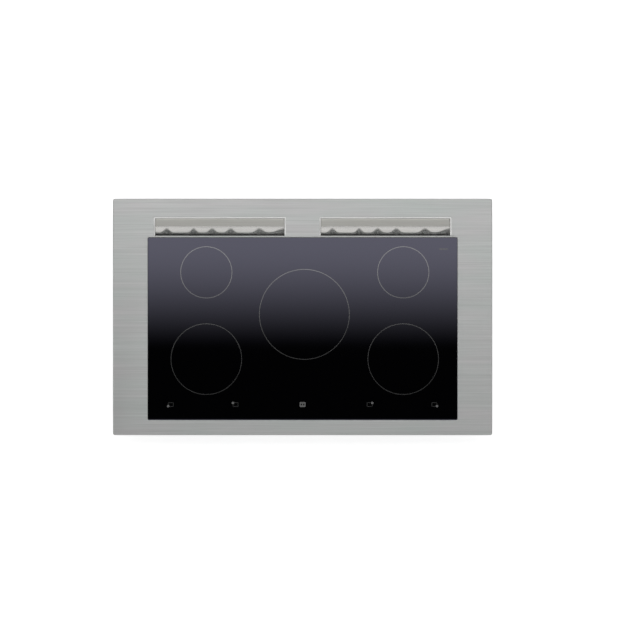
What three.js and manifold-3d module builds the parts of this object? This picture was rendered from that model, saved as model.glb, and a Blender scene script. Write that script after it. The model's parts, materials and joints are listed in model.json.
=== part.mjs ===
// A drop-in induction cooktop: a brushed steel top with a folded rim, a sunk ceramic glass panel with five
// cooking zones, two rear air vents, and the sheet-steel case with the coils, electronics and fans below it.
// Millimetres, +Z up, +X to the user's right, +Y away from the user. The origin is on the underside of the
// case, below the centre of the steel top.
import * as THREE from "three";
import { mergeVertices } from "three/addons/utils/BufferGeometryUtils.js";
import Module from "manifold-3d";

// ---- Driving dimensions ----------------------------------------------------------------------------------
const FRAME_W = 962; // steel top, left to right
const FRAME_D = 600; // steel top, front to back
const FRAME_R = 5; // its corner radius in plan
const HEIGHT = 72; // underside of the case to the top of the steel
const RIM_H = 10; // steel top above the worktop
const SHEET = 1.2; // steel top sheet
const RIM_FOLD_R = 3; // outer radius of the rim's fold
const VENT_FOLD_R = 1; // outer radius of the fold round each vent

const GLASS_W = 784;
const GLASS_D = 462;
const GLASS_T = 4;
const GLASS_R = 3;
const FACET_W = 1.8; // ground edge of the glass: its width in plan
const FACET_H = 0.5; // and its height
const GLASS_FRONT = 39; // front edge of the steel top to the glass
const GLASS_DROP = 0.6; // glass surface below the steel surface
const GLASS_JOINT = 0.8; // width of the sealed joint round the glass
const GLASS_BEVEL = 2.2; // plan width of the steel's sloping edge round the glass

const VENT_X = 210; // centre of each vent, either side of the middle
const VENT_W = 333;
const VENT_FRONT_Y = 205.8;
const VENT_BACK_Y = 252.4;
const VENT_BEVEL = 3; // plan width of the sloping edge inside each vent
const VENT_R = 1;
const VENT_PLAY = 0.5; // clearance round each vent insert

const CASE_HALF_W = 402;
const CASE_FRONT_Y = -271;
const CASE_BACK_Y = 262;
const CASE_T = 1;
const CASE_FLANGE = 9;

// Cooking zones: centre and radius of the printed ring.
const ZONES = [
  { name: "rear_left", x: -244, y: 113, r: 65 },
  { name: "rear_right", x: 255, y: 113, r: 65 },
  { name: "front_left", x: -244, y: -107, r: 89.5 },
  { name: "front_right", x: 255, y: -107, r: 89.5 },
  { name: "centre", x: 4.5, y: 6.5, r: 114 },
];
const COIL_INSET = 4; // coil edge inside its printed ring
const COIL_BORE_R = 18;
const COIL_T = 3;

const GAP = 0.3; // clearance between pieces that touch
const SKIN = 0.1; // clearance round a bonded joint
const ROUND = 28; // segments of a large circle
const SMALL_ROUND = 16; // segments of a small circle
const TINY_ROUND = 8; // segments of a post or a hole

// ---- Levels worked out from the driving dimensions -------------------------------------------------------
const SEAT_Z = HEIGHT - RIM_H; // the worktop's surface
const SHEET_UNDER_Z = HEIGHT - SHEET;
const GLASS_TOP_Z = HEIGHT - GLASS_DROP;
const GLASS_UNDER_Z = GLASS_TOP_Z - GLASS_T;
const GLASS_Y = -FRAME_D / 2 + GLASS_FRONT + GLASS_D / 2;
const CARRIER_Z = 42; // underside of the coil carriers
const CARRIER_T = 2;
const SPRING_Z = CARRIER_Z + CARRIER_T + GAP;
const FORMER_Z = SPRING_Z + 8;
const INSULATION_T = 0.8;
const INSULATION_Z = GLASS_UNDER_Z - 0.4 - INSULATION_T;
const COIL_Z = INSULATION_Z - 0.4 - COIL_T;
const CASE_MID_Y = (CASE_FRONT_Y + CASE_BACK_Y) / 2;
const CASE_D = CASE_BACK_Y - CASE_FRONT_Y;

const wasm = await Module();
wasm.setup();

// ---- Solids: made by three.js, joined and cut by manifold-3d ---------------------------------------------
function solidOf(geometry) {
  const bare = new THREE.BufferGeometry();
  const flat = geometry.index ? geometry.toNonIndexed() : geometry;
  bare.setAttribute("position", flat.getAttribute("position"));
  const merged = mergeVertices(bare, 1e-3);
  const vertProperties = new Float32Array(merged.attributes.position.array);
  const triVerts = new Uint32Array(merged.index.array);
  return new wasm.Manifold(new wasm.Mesh({ numProp: 3, vertProperties, triVerts }));
}

function geometryOf(solid) {
  const { vertProperties, triVerts } = solid.getMesh();
  const geometry = new THREE.BufferGeometry();
  geometry.setAttribute("position", new THREE.BufferAttribute(vertProperties, 3));
  geometry.setIndex(new THREE.BufferAttribute(triVerts, 1));
  const shaded = geometry.toNonIndexed();
  shaded.computeVertexNormals();
  return shaded;
}

const join = (...solids) => solids.flat().reduce((all, one) => all.add(one));
const cut = (solid, ...tools) => tools.flat().reduce((left, tool) => left.subtract(tool), solid);

function block(x0, x1, y0, y1, z0, z1) {
  const geometry = new THREE.BoxGeometry(x1 - x0, y1 - y0, z1 - z0);
  return solidOf(geometry.translate((x0 + x1) / 2, (y0 + y1) / 2, (z0 + z1) / 2));
}

// A rounded rectangle in plan, as a shape centred on x, y.
function outline(w, d, r, x = 0, y = 0) {
  const shape = new THREE.Shape();
  shape.absarc(x + w / 2 - r, y + d / 2 - r, r, 0, Math.PI / 2);
  shape.absarc(x - w / 2 + r, y + d / 2 - r, r, Math.PI / 2, Math.PI);
  shape.absarc(x - w / 2 + r, y - d / 2 + r, r, Math.PI, 1.5 * Math.PI);
  shape.absarc(x + w / 2 - r, y - d / 2 + r, r, 1.5 * Math.PI, 2 * Math.PI);
  shape.closePath();
  return shape;
}

function plate(shape, z0, z1, curveSegments = 2) {
  const options = { depth: z1 - z0, bevelEnabled: false, curveSegments };
  return solidOf(new THREE.ExtrudeGeometry(shape, options).translate(0, 0, z0));
}

const slab = (w, d, r, z0, z1, x = 0, y = 0) => plate(outline(w, d, r, x, y), z0, z1);

// A rounded plate whose top and bottom edges are ground to a slope.
function facetedPlate(w, d, r, z0, z1, facetW, facetH, x = 0, y = 0) {
  const options = {
    depth: z1 - z0 - 2 * facetH,
    bevelEnabled: true,
    bevelSegments: 1,
    bevelSize: facetW,
    bevelThickness: facetH,
    curveSegments: 2,
  };
  const shape = outline(w - 2 * facetW, d - 2 * facetW, r - facetW, x, y);
  return solidOf(new THREE.ExtrudeGeometry(shape, options).translate(0, 0, z0 + facetH));
}

function disc(r, z0, z1, x = 0, y = 0, segments = SMALL_ROUND) {
  const geometry = new THREE.CylinderGeometry(r, r, z1 - z0, segments).rotateX(Math.PI / 2);
  return solidOf(geometry.translate(x, y, (z0 + z1) / 2));
}

const tube = (outer, inner, z0, z1, x = 0, y = 0, segments = SMALL_ROUND) =>
  cut(disc(outer, z0, z1, x, y, segments), disc(inner, z0 - 1, z1 + 1, x, y, segments));

// A solid of revolution about Z from points [radius, z] that run anticlockwise and close on themselves.
function turned(points, segments = ROUND) {
  const closed = [...points, points[0]].map(([r, z]) => new THREE.Vector2(r, z));
  return solidOf(new THREE.LatheGeometry(closed, segments).rotateX(Math.PI / 2));
}

// A profile of points [across, z], extruded along X or Y and centred there.
function profileShape(points) {
  return new THREE.Shape(points.map(([a, b]) => new THREE.Vector2(a, b)));
}

function alongX(points, x0, x1) {
  const options = { depth: x1 - x0, bevelEnabled: false };
  const geometry = new THREE.ExtrudeGeometry(profileShape(points), options);
  geometry.rotateX(Math.PI / 2).rotateZ(Math.PI / 2);
  return solidOf(geometry.translate(x0, 0, 0));
}

function alongY(points, y0, y1) {
  const options = { depth: y1 - y0, bevelEnabled: false };
  const geometry = new THREE.ExtrudeGeometry(profileShape(points), options);
  return solidOf(geometry.rotateX(Math.PI / 2).translate(0, y1, 0));
}

// A profile of points [outward offset, z], anticlockwise, swept round a rounded rectangle.
function sweptRing(profile, w, d, r, x = 0, y = 0, arcSteps = 3) {
  const corners = [
    [w / 2 - r, d / 2 - r, 0],
    [-w / 2 + r, d / 2 - r, 1],
    [-w / 2 + r, -d / 2 + r, 2],
    [w / 2 - r, -d / 2 + r, 3],
  ];
  const stations = corners.flatMap(([cx, cy, quarter]) =>
    Array.from({ length: arcSteps + 1 }, (_, i) => {
      const angle = (Math.PI / 2) * (quarter + i / arcSteps);
      return { cx: cx + x, cy: cy + y, ux: Math.cos(angle), uy: Math.sin(angle) };
    }),
  );
  const positions = stations.flatMap((s) =>
    profile.flatMap(([u, z]) => [s.cx + (r + u) * s.ux, s.cy + (r + u) * s.uy, z]),
  );
  const count = profile.length;
  const index = [];
  stations.forEach((_, i) => {
    const here = i * count;
    const next = ((i + 1) % stations.length) * count;
    for (let j = 0; j < count; j += 1) {
      const k = (j + 1) % count;
      index.push(here + j, next + j, next + k, here + j, next + k, here + k);
    }
  });
  const geometry = new THREE.BufferGeometry();
  geometry.setAttribute("position", new THREE.Float32BufferAttribute(positions, 3));
  geometry.setIndex(index);
  return solidOf(geometry);
}

// Points on an arc in a profile, both ends included.
function arc(cx, cy, r, from, to, steps) {
  return Array.from({ length: steps + 1 }, (_, i) => {
    const angle = THREE.MathUtils.degToRad(from + ((to - from) * i) / steps);
    return [cx + r * Math.cos(angle), cy + r * Math.sin(angle)];
  });
}

// The same solid at each of n equal turns about Z.
function spokes(n, make) {
  return Array.from({ length: n }, (_, i) => solidOf(geometryOf(make(i)).rotateZ((2 * Math.PI * i) / n)));
}

// ---- Materials -------------------------------------------------------------------------------------------
const material = (color, roughness, metalness) =>
  new THREE.MeshStandardMaterial({ color, roughness, metalness });
const LOOK = {
  brushedSteel: material(0xb0b2b1, 0.35, 1),
  polishedSteel: material(0xc9c8c4, 0.08, 1),
  glass: material(0x08080b, 0.04, 0),
  silicone: material(0x17171a, 0.6, 0),
  galvanised: material(0x9a9fa3, 0.45, 1),
  foam: material(0x2a2a2c, 0.95, 0),
  aluminium: material(0xc4c7c9, 0.4, 1),
  mica: material(0xb9a98c, 0.7, 0),
  copper: material(0xa5562c, 0.4, 1),
  darkPlastic: material(0x202123, 0.55, 0),
  greyPlastic: material(0x8b8e90, 0.6, 0),
  circuitBoard: material(0x1e5a34, 0.5, 0),
  springSteel: material(0x7f8387, 0.3, 1),
  zincSteel: material(0xb5b39f, 0.35, 1),
};

// ---- Steel top, glass and vents --------------------------------------------------------------------------
// The profile of the rim: the sheet folds from flat down into a leg that stands on the worktop.
function rimProfile() {
  const steps = 4;
  const outer = arc(-RIM_FOLD_R, HEIGHT - RIM_FOLD_R, RIM_FOLD_R, 0, 90, steps);
  const inner = arc(-RIM_FOLD_R, HEIGHT - RIM_FOLD_R, RIM_FOLD_R - SHEET, 90, 0, steps);
  const tail = -RIM_FOLD_R - LAP;
  return [[0, SEAT_Z], ...outer, [tail, HEIGHT], [tail, SHEET_UNDER_Z], ...inner, [-SHEET, SEAT_Z]];
}

// The profile of an opening's edge: the sheet slopes down by drop over width, then folds into a short leg.
function edgeProfile(width, drop, foldR, legZ) {
  const corner = HEIGHT - drop;
  const tail = width + LAP;
  return [
    [0, corner - foldR],
    [0, legZ],
    [SHEET, legZ],
    [SHEET, corner - foldR - SHEET],
    [width, SHEET_UNDER_Z],
    [tail, SHEET_UNDER_Z],
    [tail, HEIGHT],
    [width, HEIGHT],
    [foldR, corner],
    [0.3 * foldR, corner - 0.3 * foldR],
  ];
}

const GLASS_OPENING = [
  GLASS_W + 2 * GLASS_JOINT,
  GLASS_D + 2 * GLASS_JOINT,
  GLASS_R + GLASS_JOINT,
  0,
  GLASS_Y,
];
const VENT_MID_Y = (VENT_FRONT_Y + VENT_BACK_Y) / 2;
const VENT_D = VENT_BACK_Y - VENT_FRONT_Y;
const ventOpening = (side) => [VENT_W, VENT_D, VENT_R, side * VENT_X, VENT_MID_Y];
const grown = ([w, d, r, x, y], by) => [w + 2 * by, d + 2 * by, r + by, x, y];
const GLASS_LEG_Z = GLASS_UNDER_Z - GAP;
const GLASS_FOLD_R = 0.4;
const VENT_LEG_Z = HEIGHT - 4;
const VENT_EDGE_R = 0.6;
const VENT_DROP = 0.2;
const LAP = 0.5; // overlap of the flat sheet and its folded edges, which are one piece

function topFrame() {
  const flat = outline(FRAME_W - 2 * RIM_FOLD_R, FRAME_D - 2 * RIM_FOLD_R, FRAME_R - RIM_FOLD_R);
  flat.holes.push(outline(...grown(GLASS_OPENING, GLASS_BEVEL)));
  [-1, 1].forEach((side) => flat.holes.push(outline(...grown(ventOpening(side), VENT_FOLD_R))));
  const sheet = plate(flat, SHEET_UNDER_Z, HEIGHT);
  const rim = sweptRing(rimProfile(), FRAME_W, FRAME_D, FRAME_R);
  const glassEdge = edgeProfile(GLASS_BEVEL, GLASS_DROP, GLASS_FOLD_R, GLASS_LEG_Z);
  const ventEdge = edgeProfile(VENT_FOLD_R, VENT_DROP, VENT_EDGE_R, VENT_LEG_Z);
  const ventEdges = [-1, 1].map((side) => sweptRing(ventEdge, ...ventOpening(side), 1));
  return join(sheet, rim, sweptRing(glassEdge, ...GLASS_OPENING, 4), ventEdges);
}

// A rectangle as a profile, anticlockwise.
const rectangle = (u0, u1, z0, z1) => [
  [u0, z0],
  [u1, z0],
  [u1, z1],
  [u0, z1],
];

// Silicone: a thin bed under the glass's edge and a bead up the joint round it.
const BED_W = 8;
const BED_T = 0.3;
const BED_R = 10;
function glassSeal() {
  const top = GLASS_UNDER_Z - SKIN;
  const outer = GLASS_JOINT - SKIN;
  const bed = rectangle(-BED_W, outer, top - BED_T, top);
  const bead = rectangle(SKIN, outer, top - BED_T + SKIN, GLASS_TOP_Z - FACET_H);
  return join(
    sweptRing(bed, GLASS_W, GLASS_D, BED_R, 0, GLASS_Y, 1),
    sweptRing(bead, GLASS_W, GLASS_D, GLASS_R, 0, GLASS_Y, 4),
  );
}

// The welded angle under the glass's edge, which carries it.
const SUPPORT_TOP_Z = GLASS_UNDER_Z - 0.5;
const SUPPORT_LEG_Z = 50;
const SUPPORT_LEDGE = 10;
const SUPPORT_T = 1.4;
const SUPPORT_R = 12;
function glassSupport() {
  const outer = GLASS_JOINT + SHEET;
  const profile = [
    [-SUPPORT_LEDGE, SUPPORT_TOP_Z - SUPPORT_T],
    [outer - SHEET, SUPPORT_TOP_Z - SUPPORT_T],
    [outer - SHEET, SUPPORT_LEG_Z],
    [outer, SUPPORT_LEG_Z],
    [outer, SUPPORT_TOP_Z],
    [-SUPPORT_LEDGE, SUPPORT_TOP_Z],
  ];
  return sweptRing(profile, GLASS_W, GLASS_D, SUPPORT_R, 0, GLASS_Y, 1);
}

// A pressed vent tray: sloping edges, a nearly flat ledge, then a rounded, polished face that drops into the
// air slot behind the glass. Its own X is 0 at its middle.
const INSERT_T = 1;
const LEDGE_BACK = [VENT_BACK_Y - VENT_BEVEL, 66.2];
const LEDGE_FRONT = [228.3, 64.6];
const FACE_D = 17; // plan depth of the rounded face
const FACE_SLOPE = 6.5; // its fall where it is still a slope
const FACE_ROUND = 9.6; // and the further fall where it turns down
const FACE_TURN = 0.62; // share of its depth where it turns down
const FACE_FIRST = 0.46; // how steep the slope already is at its back, against its mean
const FACE_FOOT_Z = 38;
const FACE_STEPS = 8;
const RIM_FALL = 2.2; // the tray's outer edge, measured down its upright back
const TAB_X = [-100, 100]; // tabs that hook the tray under the steel top
const TAB = { halfW: 10, d: 7, t: 1 };

// The rounded face's fall at a share of its plan depth.
function faceFall(share) {
  const turn = Math.max(0, (share - FACE_TURN) / (1 - FACE_TURN));
  const slope = FACE_FIRST * share + (1 - FACE_FIRST) * share * share;
  return FACE_SLOPE * slope + FACE_ROUND * (1 - Math.sqrt(1 - turn * turn));
}

function ventInsert() {
  const topZ = VENT_LEG_Z + 1.6;
  const shares = Array.from({ length: FACE_STEPS + 1 }, (_, i) => Math.sin(((i / FACE_STEPS) * Math.PI) / 2));
  const face = shares.map((share) => [LEDGE_FRONT[0] - FACE_D * share, LEDGE_FRONT[1] - faceFall(share)]);
  const faceBack = face.map(([y, z]) => [y + INSERT_T, z - INSERT_T]).reverse();
  const foot = face[face.length - 1][0];
  const wallTop = VENT_BACK_Y - VENT_PLAY;
  const front = VENT_FRONT_Y + VENT_PLAY;
  const upper = [[wallTop, topZ], LEDGE_BACK, ...face, [foot, FACE_FOOT_Z]];
  const lower = [
    [foot + INSERT_T, FACE_FOOT_Z],
    ...faceBack,
    [LEDGE_BACK[0] + 0.4, LEDGE_BACK[1] - INSERT_T],
    [wallTop + INSERT_T, topZ - RIM_FALL],
    [wallTop + INSERT_T, VENT_LEG_Z - GAP],
    [wallTop, VENT_LEG_Z - GAP],
  ];
  const halfW = VENT_W / 2 - VENT_PLAY;
  const floorHalfW = VENT_W / 2 - VENT_BEVEL;
  const floor = alongX([...upper, ...lower], -floorHalfW - INSERT_T, floorHalfW + INSERT_T);
  const cheekTopZ = LEDGE_FRONT[1] + 0.5;
  const cheek = [
    [front, FACE_FOOT_Z],
    [foot + INSERT_T, FACE_FOOT_Z],
    [LEDGE_FRONT[0] + 6, 58],
    [LEDGE_BACK[0], 62],
    [LEDGE_BACK[0], cheekTopZ],
    [front, cheekTopZ],
  ];
  const bevel = [
    [floorHalfW, cheekTopZ - 1],
    [floorHalfW + INSERT_T, cheekTopZ - 1],
    [halfW, topZ],
    [halfW - INSERT_T, topZ],
  ];
  const sides = [-1, 1].flatMap((side) => {
    const slope = bevel.map(([x, z]) => [side * x, z]);
    const x0 = side > 0 ? floorHalfW : -floorHalfW - INSERT_T;
    return [
      alongX(cheek, x0, x0 + INSERT_T),
      alongY(side > 0 ? slope : slope.reverse(), front, wallTop),
    ];
  });
  const tabTop = VENT_LEG_Z - GAP;
  const tabs = TAB_X.map((x) =>
    block(x - TAB.halfW, x + TAB.halfW, wallTop, wallTop + TAB.d, tabTop - TAB.t, tabTop),
  );
  return join(floor, sides, tabs);
}

// A hat-section channel along each side wing, between the worktop and the steel top.
const WING_X = 446;
const HAT = { halfW: 15, flange: 5, t: 1, halfD: 270 };
function wingStiffener() {
  const { halfW, flange, t, halfD } = HAT;
  const crown = SHEET_UNDER_Z - GAP;
  const right = [
    [halfW - t, crown - t],
    [halfW - t, SEAT_Z],
    [halfW + flange, SEAT_Z],
    [halfW + flange, SEAT_Z + t],
    [halfW, SEAT_Z + t],
    [halfW, crown],
  ];
  const left = right.map(([x, z]) => [-x, z]).reverse();
  return alongY([...right, ...left], -halfD, halfD);
}

// ---- Case ------------------------------------------------------------------------------------------------
const FAN_X = 232;
const FAN_Y = -178;
const LID = { x0: -386, x1: -282, z0: 8, z1: 46 };
const LID_LAP = 3; // the lid past the hole it covers, on every side
const GLAND = { x: -255, z: 24, r: 9 };

const INTAKE = { r: 30, rows: 7, pitch: 7.5, halfSlot: 1.7 };
const WALL_SLOT = { halfW: 1.6, pitch: 14, z0: 14, z1: 36, reach: 3 };
const BEAD = { ys: [-120, 140], halfW: 100, halfD: 6, h: 0.9 }; // beads pressed into the floor from below

// Places of count things at an equal pitch about a middle.
const rowOf = (count, pitch, middle = 0) =>
  Array.from({ length: count }, (_, i) => middle + (i - (count - 1) / 2) * pitch);

// Slots in the case floor under a fan, cut off by a circle.
function intakeSlots(x, y) {
  const { r, rows, pitch, halfSlot } = INTAKE;
  return rowOf(rows, pitch).map((offset) => {
    const half = Math.sqrt(r * r - offset * offset);
    return block(x - half, x + half, y + offset - halfSlot, y + offset + halfSlot, -1, 2);
  });
}

// Upright slots through a wall of the case.
function wallSlots(count, x, y) {
  const { halfW, pitch, z0, z1, reach } = WALL_SLOT;
  return rowOf(count, pitch, x).map((sx) => block(sx - halfW, sx + halfW, y - reach, y + reach, z0, z1));
}

function bottomTray() {
  const [w, r] = [2 * CASE_HALF_W, 6];
  const wallTopZ = SHEET_UNDER_Z - 0.4;
  const shell = cut(
    slab(w, CASE_D, r, 0, wallTopZ, 0, CASE_MID_Y),
    slab(w - 2 * CASE_T, CASE_D - 2 * CASE_T, r - CASE_T, CASE_T, HEIGHT, 0, CASE_MID_Y),
  );
  const flangeProfile = rectangle(-LAP, CASE_FLANGE, wallTopZ - CASE_T, wallTopZ);
  const flange = sweptRing(flangeProfile, w, CASE_D, r, 0, CASE_MID_Y, 2);
  const bead = (y, inset, z0, z1) =>
    block(-BEAD.halfW + inset, BEAD.halfW - inset, y - BEAD.halfD + inset, y + BEAD.halfD - inset, z0, z1);
  const beads = BEAD.ys.map((y) => bead(y, 0, CASE_T / 2, CASE_T + BEAD.h));
  const grooves = BEAD.ys.map((y) => bead(y, 2 * CASE_T, -1, BEAD.h));
  const [holeX0, holeX1] = [LID.x0 + LID_LAP, LID.x1 - LID_LAP];
  const [holeZ0, holeZ1] = [LID.z0 + LID_LAP, LID.z1 - LID_LAP];
  const lidHole = block(holeX0, holeX1, CASE_BACK_Y - 3, CASE_BACK_Y + 3, holeZ0, holeZ1);
  const glandHole = solidOf(
    new THREE.CylinderGeometry(GLAND.r, GLAND.r, 6, SMALL_ROUND).translate(GLAND.x, CASE_BACK_Y, GLAND.z),
  );
  return cut(
    join(shell, flange, beads),
    grooves,
    lidHole,
    glandHole,
    intakeSlots(-FAN_X, FAN_Y),
    intakeSlots(FAN_X, FAN_Y),
    wallSlots(6, -FAN_X, CASE_FRONT_Y),
    wallSlots(6, FAN_X, CASE_FRONT_Y),
    wallSlots(8, FAN_X, CASE_BACK_Y),
  );
}

const FOAM_W = 11.6;
const FOAM_T = 6;
const FOAM_R = 2;
function foamSeal() {
  const inset = SHEET + GAP + FOAM_W;
  const profile = rectangle(0, FOAM_W, SEAT_Z, SEAT_Z + FOAM_T);
  return sweptRing(profile, FRAME_W - 2 * inset, FRAME_D - 2 * inset, FOAM_R, 0, 0, 1);
}

// ---- Coils -----------------------------------------------------------------------------------------------
const coilR = (zone) => zone.r - COIL_INSET;

const INSULATION = { w: 742, d: 384, r: 6, x: 2.5, y: -6 };
const SENSOR_HOLE_R = 7;
function insulationSheet() {
  const { w, d, r, x, y } = INSULATION;
  const sheet = outline(w, d, r, x, y);
  ZONES.forEach((zone) => {
    sheet.holes.push(new THREE.Path().absarc(zone.x, zone.y, SENSOR_HOLE_R, 0, 2 * Math.PI));
  });
  return plate(sheet, INSULATION_Z, INSULATION_Z + INSULATION_T, 4);
}

const coilWinding = (zone) => tube(coilR(zone), COIL_BORE_R, COIL_Z, COIL_Z + COIL_T, 0, 0, ROUND);

// The plastic dish under a winding: floor, rim and covers over the ferrite bars, open in the middle.
const FORMER = { hole: 10, floorT: 1.5, rimT: 1.2, rimH: 1 };
const FERRITE = { count: 6, start: 14, halfW: 6 };
function coilFormer(zone) {
  const outer = coilR(zone) + FORMER.floorT;
  const barTop = COIL_Z - GAP;
  const floorTop = FORMER_Z + FORMER.floorT;
  const dish = turned([
    [FORMER.hole, FORMER_Z],
    [outer, FORMER_Z],
    [outer, barTop + FORMER.rimH],
    [outer - FORMER.rimT, barTop + FORMER.rimH],
    [outer - FORMER.rimT, floorTop],
    [FORMER.hole, floorTop],
  ]);
  const { count, start, halfW } = FERRITE;
  const end = outer - FORMER.rimT / 2;
  const bars = spokes(count, () => block(start, end, -halfW, halfW, floorTop - LAP, barTop));
  return join(dish, bars);
}

// A three-legged leaf spring that presses a coil up against the glass.
const SPRING = { t: 0.8, outer: 15, hole: 7, halfW: 6, start: 10, bend: 20, knee: 42, tip: 52 };
function coilSpring() {
  const { t, outer, hole, halfW, start, bend, knee, tip } = SPRING;
  const top = FORMER_Z - GAP;
  const leg = [
    [start, top - t],
    [bend, top - t],
    [knee, SPRING_Z],
    [tip, SPRING_Z],
    [tip, SPRING_Z + t],
    [knee + t / 2, SPRING_Z + t],
    [bend + t / 2, top],
    [start, top],
  ];
  const legs = spokes(3, () => alongY(leg, -halfW, halfW));
  return join(tube(outer, hole, top - t, top, 0, 0, TINY_ROUND), legs);
}

// A bridge of aluminium sheet over the electronics, with feet on the case floor.
const CARRIER_FRONT_Y = -258;
const CARRIER_BACK_Y = 196;
const CARRIER_FOOT = 12;
const AIR_WINDOW = { margin: 22, z0: 12, z1: 34, reach: 5 };
const LEAD_HOLE_R = 5;
function coilCarrier(x0, x1, zones) {
  const footBottom = CASE_T + GAP;
  const footTop = footBottom + CARRIER_T;
  const top = CARRIER_Z + CARRIER_T;
  const foot = (y, inward) => [
    [y + inward * CARRIER_FOOT, footBottom],
    [y + inward * CARRIER_FOOT, footTop],
    [y + inward * CARRIER_T, footTop],
    [y + inward * CARRIER_T, CARRIER_Z],
  ];
  const profile = [
    ...foot(CARRIER_FRONT_Y, 1),
    ...foot(CARRIER_BACK_Y, -1).reverse(),
    [CARRIER_BACK_Y, footBottom],
    [CARRIER_BACK_Y, top],
    [CARRIER_FRONT_Y, top],
    [CARRIER_FRONT_Y, footBottom],
  ].reverse();
  const { margin, z0, z1, reach } = AIR_WINDOW;
  const windowW = (x1 - x0 - 3 * margin) / 2;
  const airWindows = [x0 + margin, x1 - margin - windowW].map((x) =>
    block(x, x + windowW, CARRIER_BACK_Y - reach, CARRIER_BACK_Y + reach, z0, z1),
  );
  const leadHoles = zones.map((zone) =>
    disc(LEAD_HOLE_R, CARRIER_Z - CARRIER_T, top + CARRIER_T, zone.x, zone.y, TINY_ROUND),
  );
  return cut(alongX(profile, x0, x1), airWindows, leadHoles);
}

// ---- Touch control under the front of the glass ----------------------------------------------------------
const SYMBOL_X = [-334, -170, 0, 170, 334];
const SYMBOL_Y = -222;
const TOUCH_BOARD_Z = 64.2;
const TOUCH = { w: 712, d: 40, r: 3, y: -225, t: 1.6 };
const DISPLAY = { halfW: 14, halfD: 8, h: 1 };
function touchBoard() {
  const top = TOUCH_BOARD_Z + TOUCH.t;
  const board = slab(TOUCH.w, TOUCH.d, TOUCH.r, TOUCH_BOARD_Z, top, 0, TOUCH.y);
  const { halfW, halfD, h } = DISPLAY;
  const displays = SYMBOL_X.map((x) =>
    block(x - halfW, x + halfW, SYMBOL_Y - halfD, SYMBOL_Y + halfD, TOUCH_BOARD_Z, top + h),
  );
  const plug = block(-30, 30, -241, -233, TOUCH_BOARD_Z - 4, TOUCH_BOARD_Z + 0.2);
  return join(board, displays, plug);
}

// The trough that holds the touch board by its edges and stands on the coil carriers.
const HOUSING = { z: 56, wall: 4, floorT: 1.5, ledge: 2, legX: [-300, -90, 90, 300] };
const HOUSING_LEG = { halfW: 8, halfD: 6 };
function touchHousing() {
  const { z, wall, floorT, ledge, legX } = HOUSING;
  const top = TOUCH_BOARD_Z + 1.4;
  const [w, d] = [TOUCH.w + 2 * wall, TOUCH.d + 2 * (wall - 1)];
  const seatZ = TOUCH_BOARD_Z - GAP;
  const body = cut(
    slab(w, d, wall, z, top, 0, TOUCH.y),
    slab(w - 2 * ledge, d - 2 * ledge, TOUCH.r, z + floorT, seatZ, 0, TOUCH.y),
    slab(TOUCH.w + 2 * GAP, TOUCH.d + 2 * GAP, TOUCH.r, seatZ - 1, top + 1, 0, TOUCH.y),
  );
  const { halfW, halfD } = HOUSING_LEG;
  const legZ = CARRIER_Z + CARRIER_T + GAP;
  const legs = legX.map((x) => block(x - halfW, x + halfW, TOUCH.y - halfD, TOUCH.y + halfD, legZ, z + 1));
  return join(body, legs);
}

// ---- Power electronics -----------------------------------------------------------------------------------
// One module, about its own middle in X and in the case's Y: a plastic base, a power board, a finned heat
// sink and a radial fan that draws air in through the case floor.
const MODULE_W = 200;
const BASE_Z = CASE_T + GAP;
const BOARD_Z = 9.8;
const BOARD_T = 1.6;
const BOARD_FRONT_Y = -112;
const BOARD_BACK_Y = 168;
const BOARD_W = 188;
const BOARD_R = 3;
const BASE = { y0: -240, y1: 176, wall: 2, rimZ: 8, r: 5, postR: 4, postX: [-86, 86], postInset: 8 };

function moduleBase() {
  const { y0, y1, wall, rimZ, r, postR, postX, postInset } = BASE;
  const [d, middle] = [y1 - y0, (y0 + y1) / 2];
  const floor = cut(
    slab(MODULE_W, d, r, BASE_Z, rimZ, 0, middle),
    slab(MODULE_W - 2 * wall, d - 2 * wall, r - wall, BASE_Z + wall, HEIGHT, 0, middle),
    disc(INTAKE.r + 1, 0, rimZ - wall, 0, FAN_Y),
  );
  const posts = [BOARD_FRONT_Y + postInset, BOARD_BACK_Y - postInset].flatMap((y) =>
    postX.map((x) => disc(postR, BASE_Z + 1, BOARD_Z - GAP, x, y, TINY_ROUND)),
  );
  return join(floor, posts);
}

// Parts on a board start a little below its upper face, so that they are one piece with it.
const BOARD_TOP = BOARD_Z + BOARD_T;
const fitted = (x0, x1, y, d, h) => block(x0, x1, y, y + d, BOARD_TOP - LAP, BOARD_TOP + h);

function powerBoard() {
  const [z, middle] = [BOARD_TOP - LAP, (BOARD_FRONT_Y + BOARD_BACK_Y) / 2];
  const board = slab(BOARD_W, BOARD_BACK_Y - BOARD_FRONT_Y, BOARD_R, BOARD_Z, BOARD_TOP, 0, middle);
  const capacitors = [-50, 10, 70].map((y) => fitted(44, 72, y, 34, 22));
  const chokes = [-80, -30].map((y) => tube(16, 7, z, BOARD_TOP + 14, -70, y, 10));
  const relays = [20, 60].map((y) => fitted(-86, -66, y, 26, 16));
  const cans = [120, 148].map((y) => disc(9, z, BOARD_TOP + 25, -74, y, TINY_ROUND));
  return join(board, capacitors, chokes, relays, cans);
}

const SINK = { x0: -34, x1: 32, y0: -100, y1: 150, baseT: 4, h: 25, fins: 9, finT: 2, pitch: 8 };
function heatSink() {
  const { x0, x1, y0, y1, baseT, h, fins, finT, pitch } = SINK;
  const z = BOARD_TOP + GAP;
  const comb = Array.from({ length: fins }, (_, i) =>
    block(x0 + i * pitch, x0 + i * pitch + finT, y0, y1, z + baseT - 1, z + h),
  );
  return join(block(x0, x1, y0, y1, z, z + baseT), comb);
}

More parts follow.
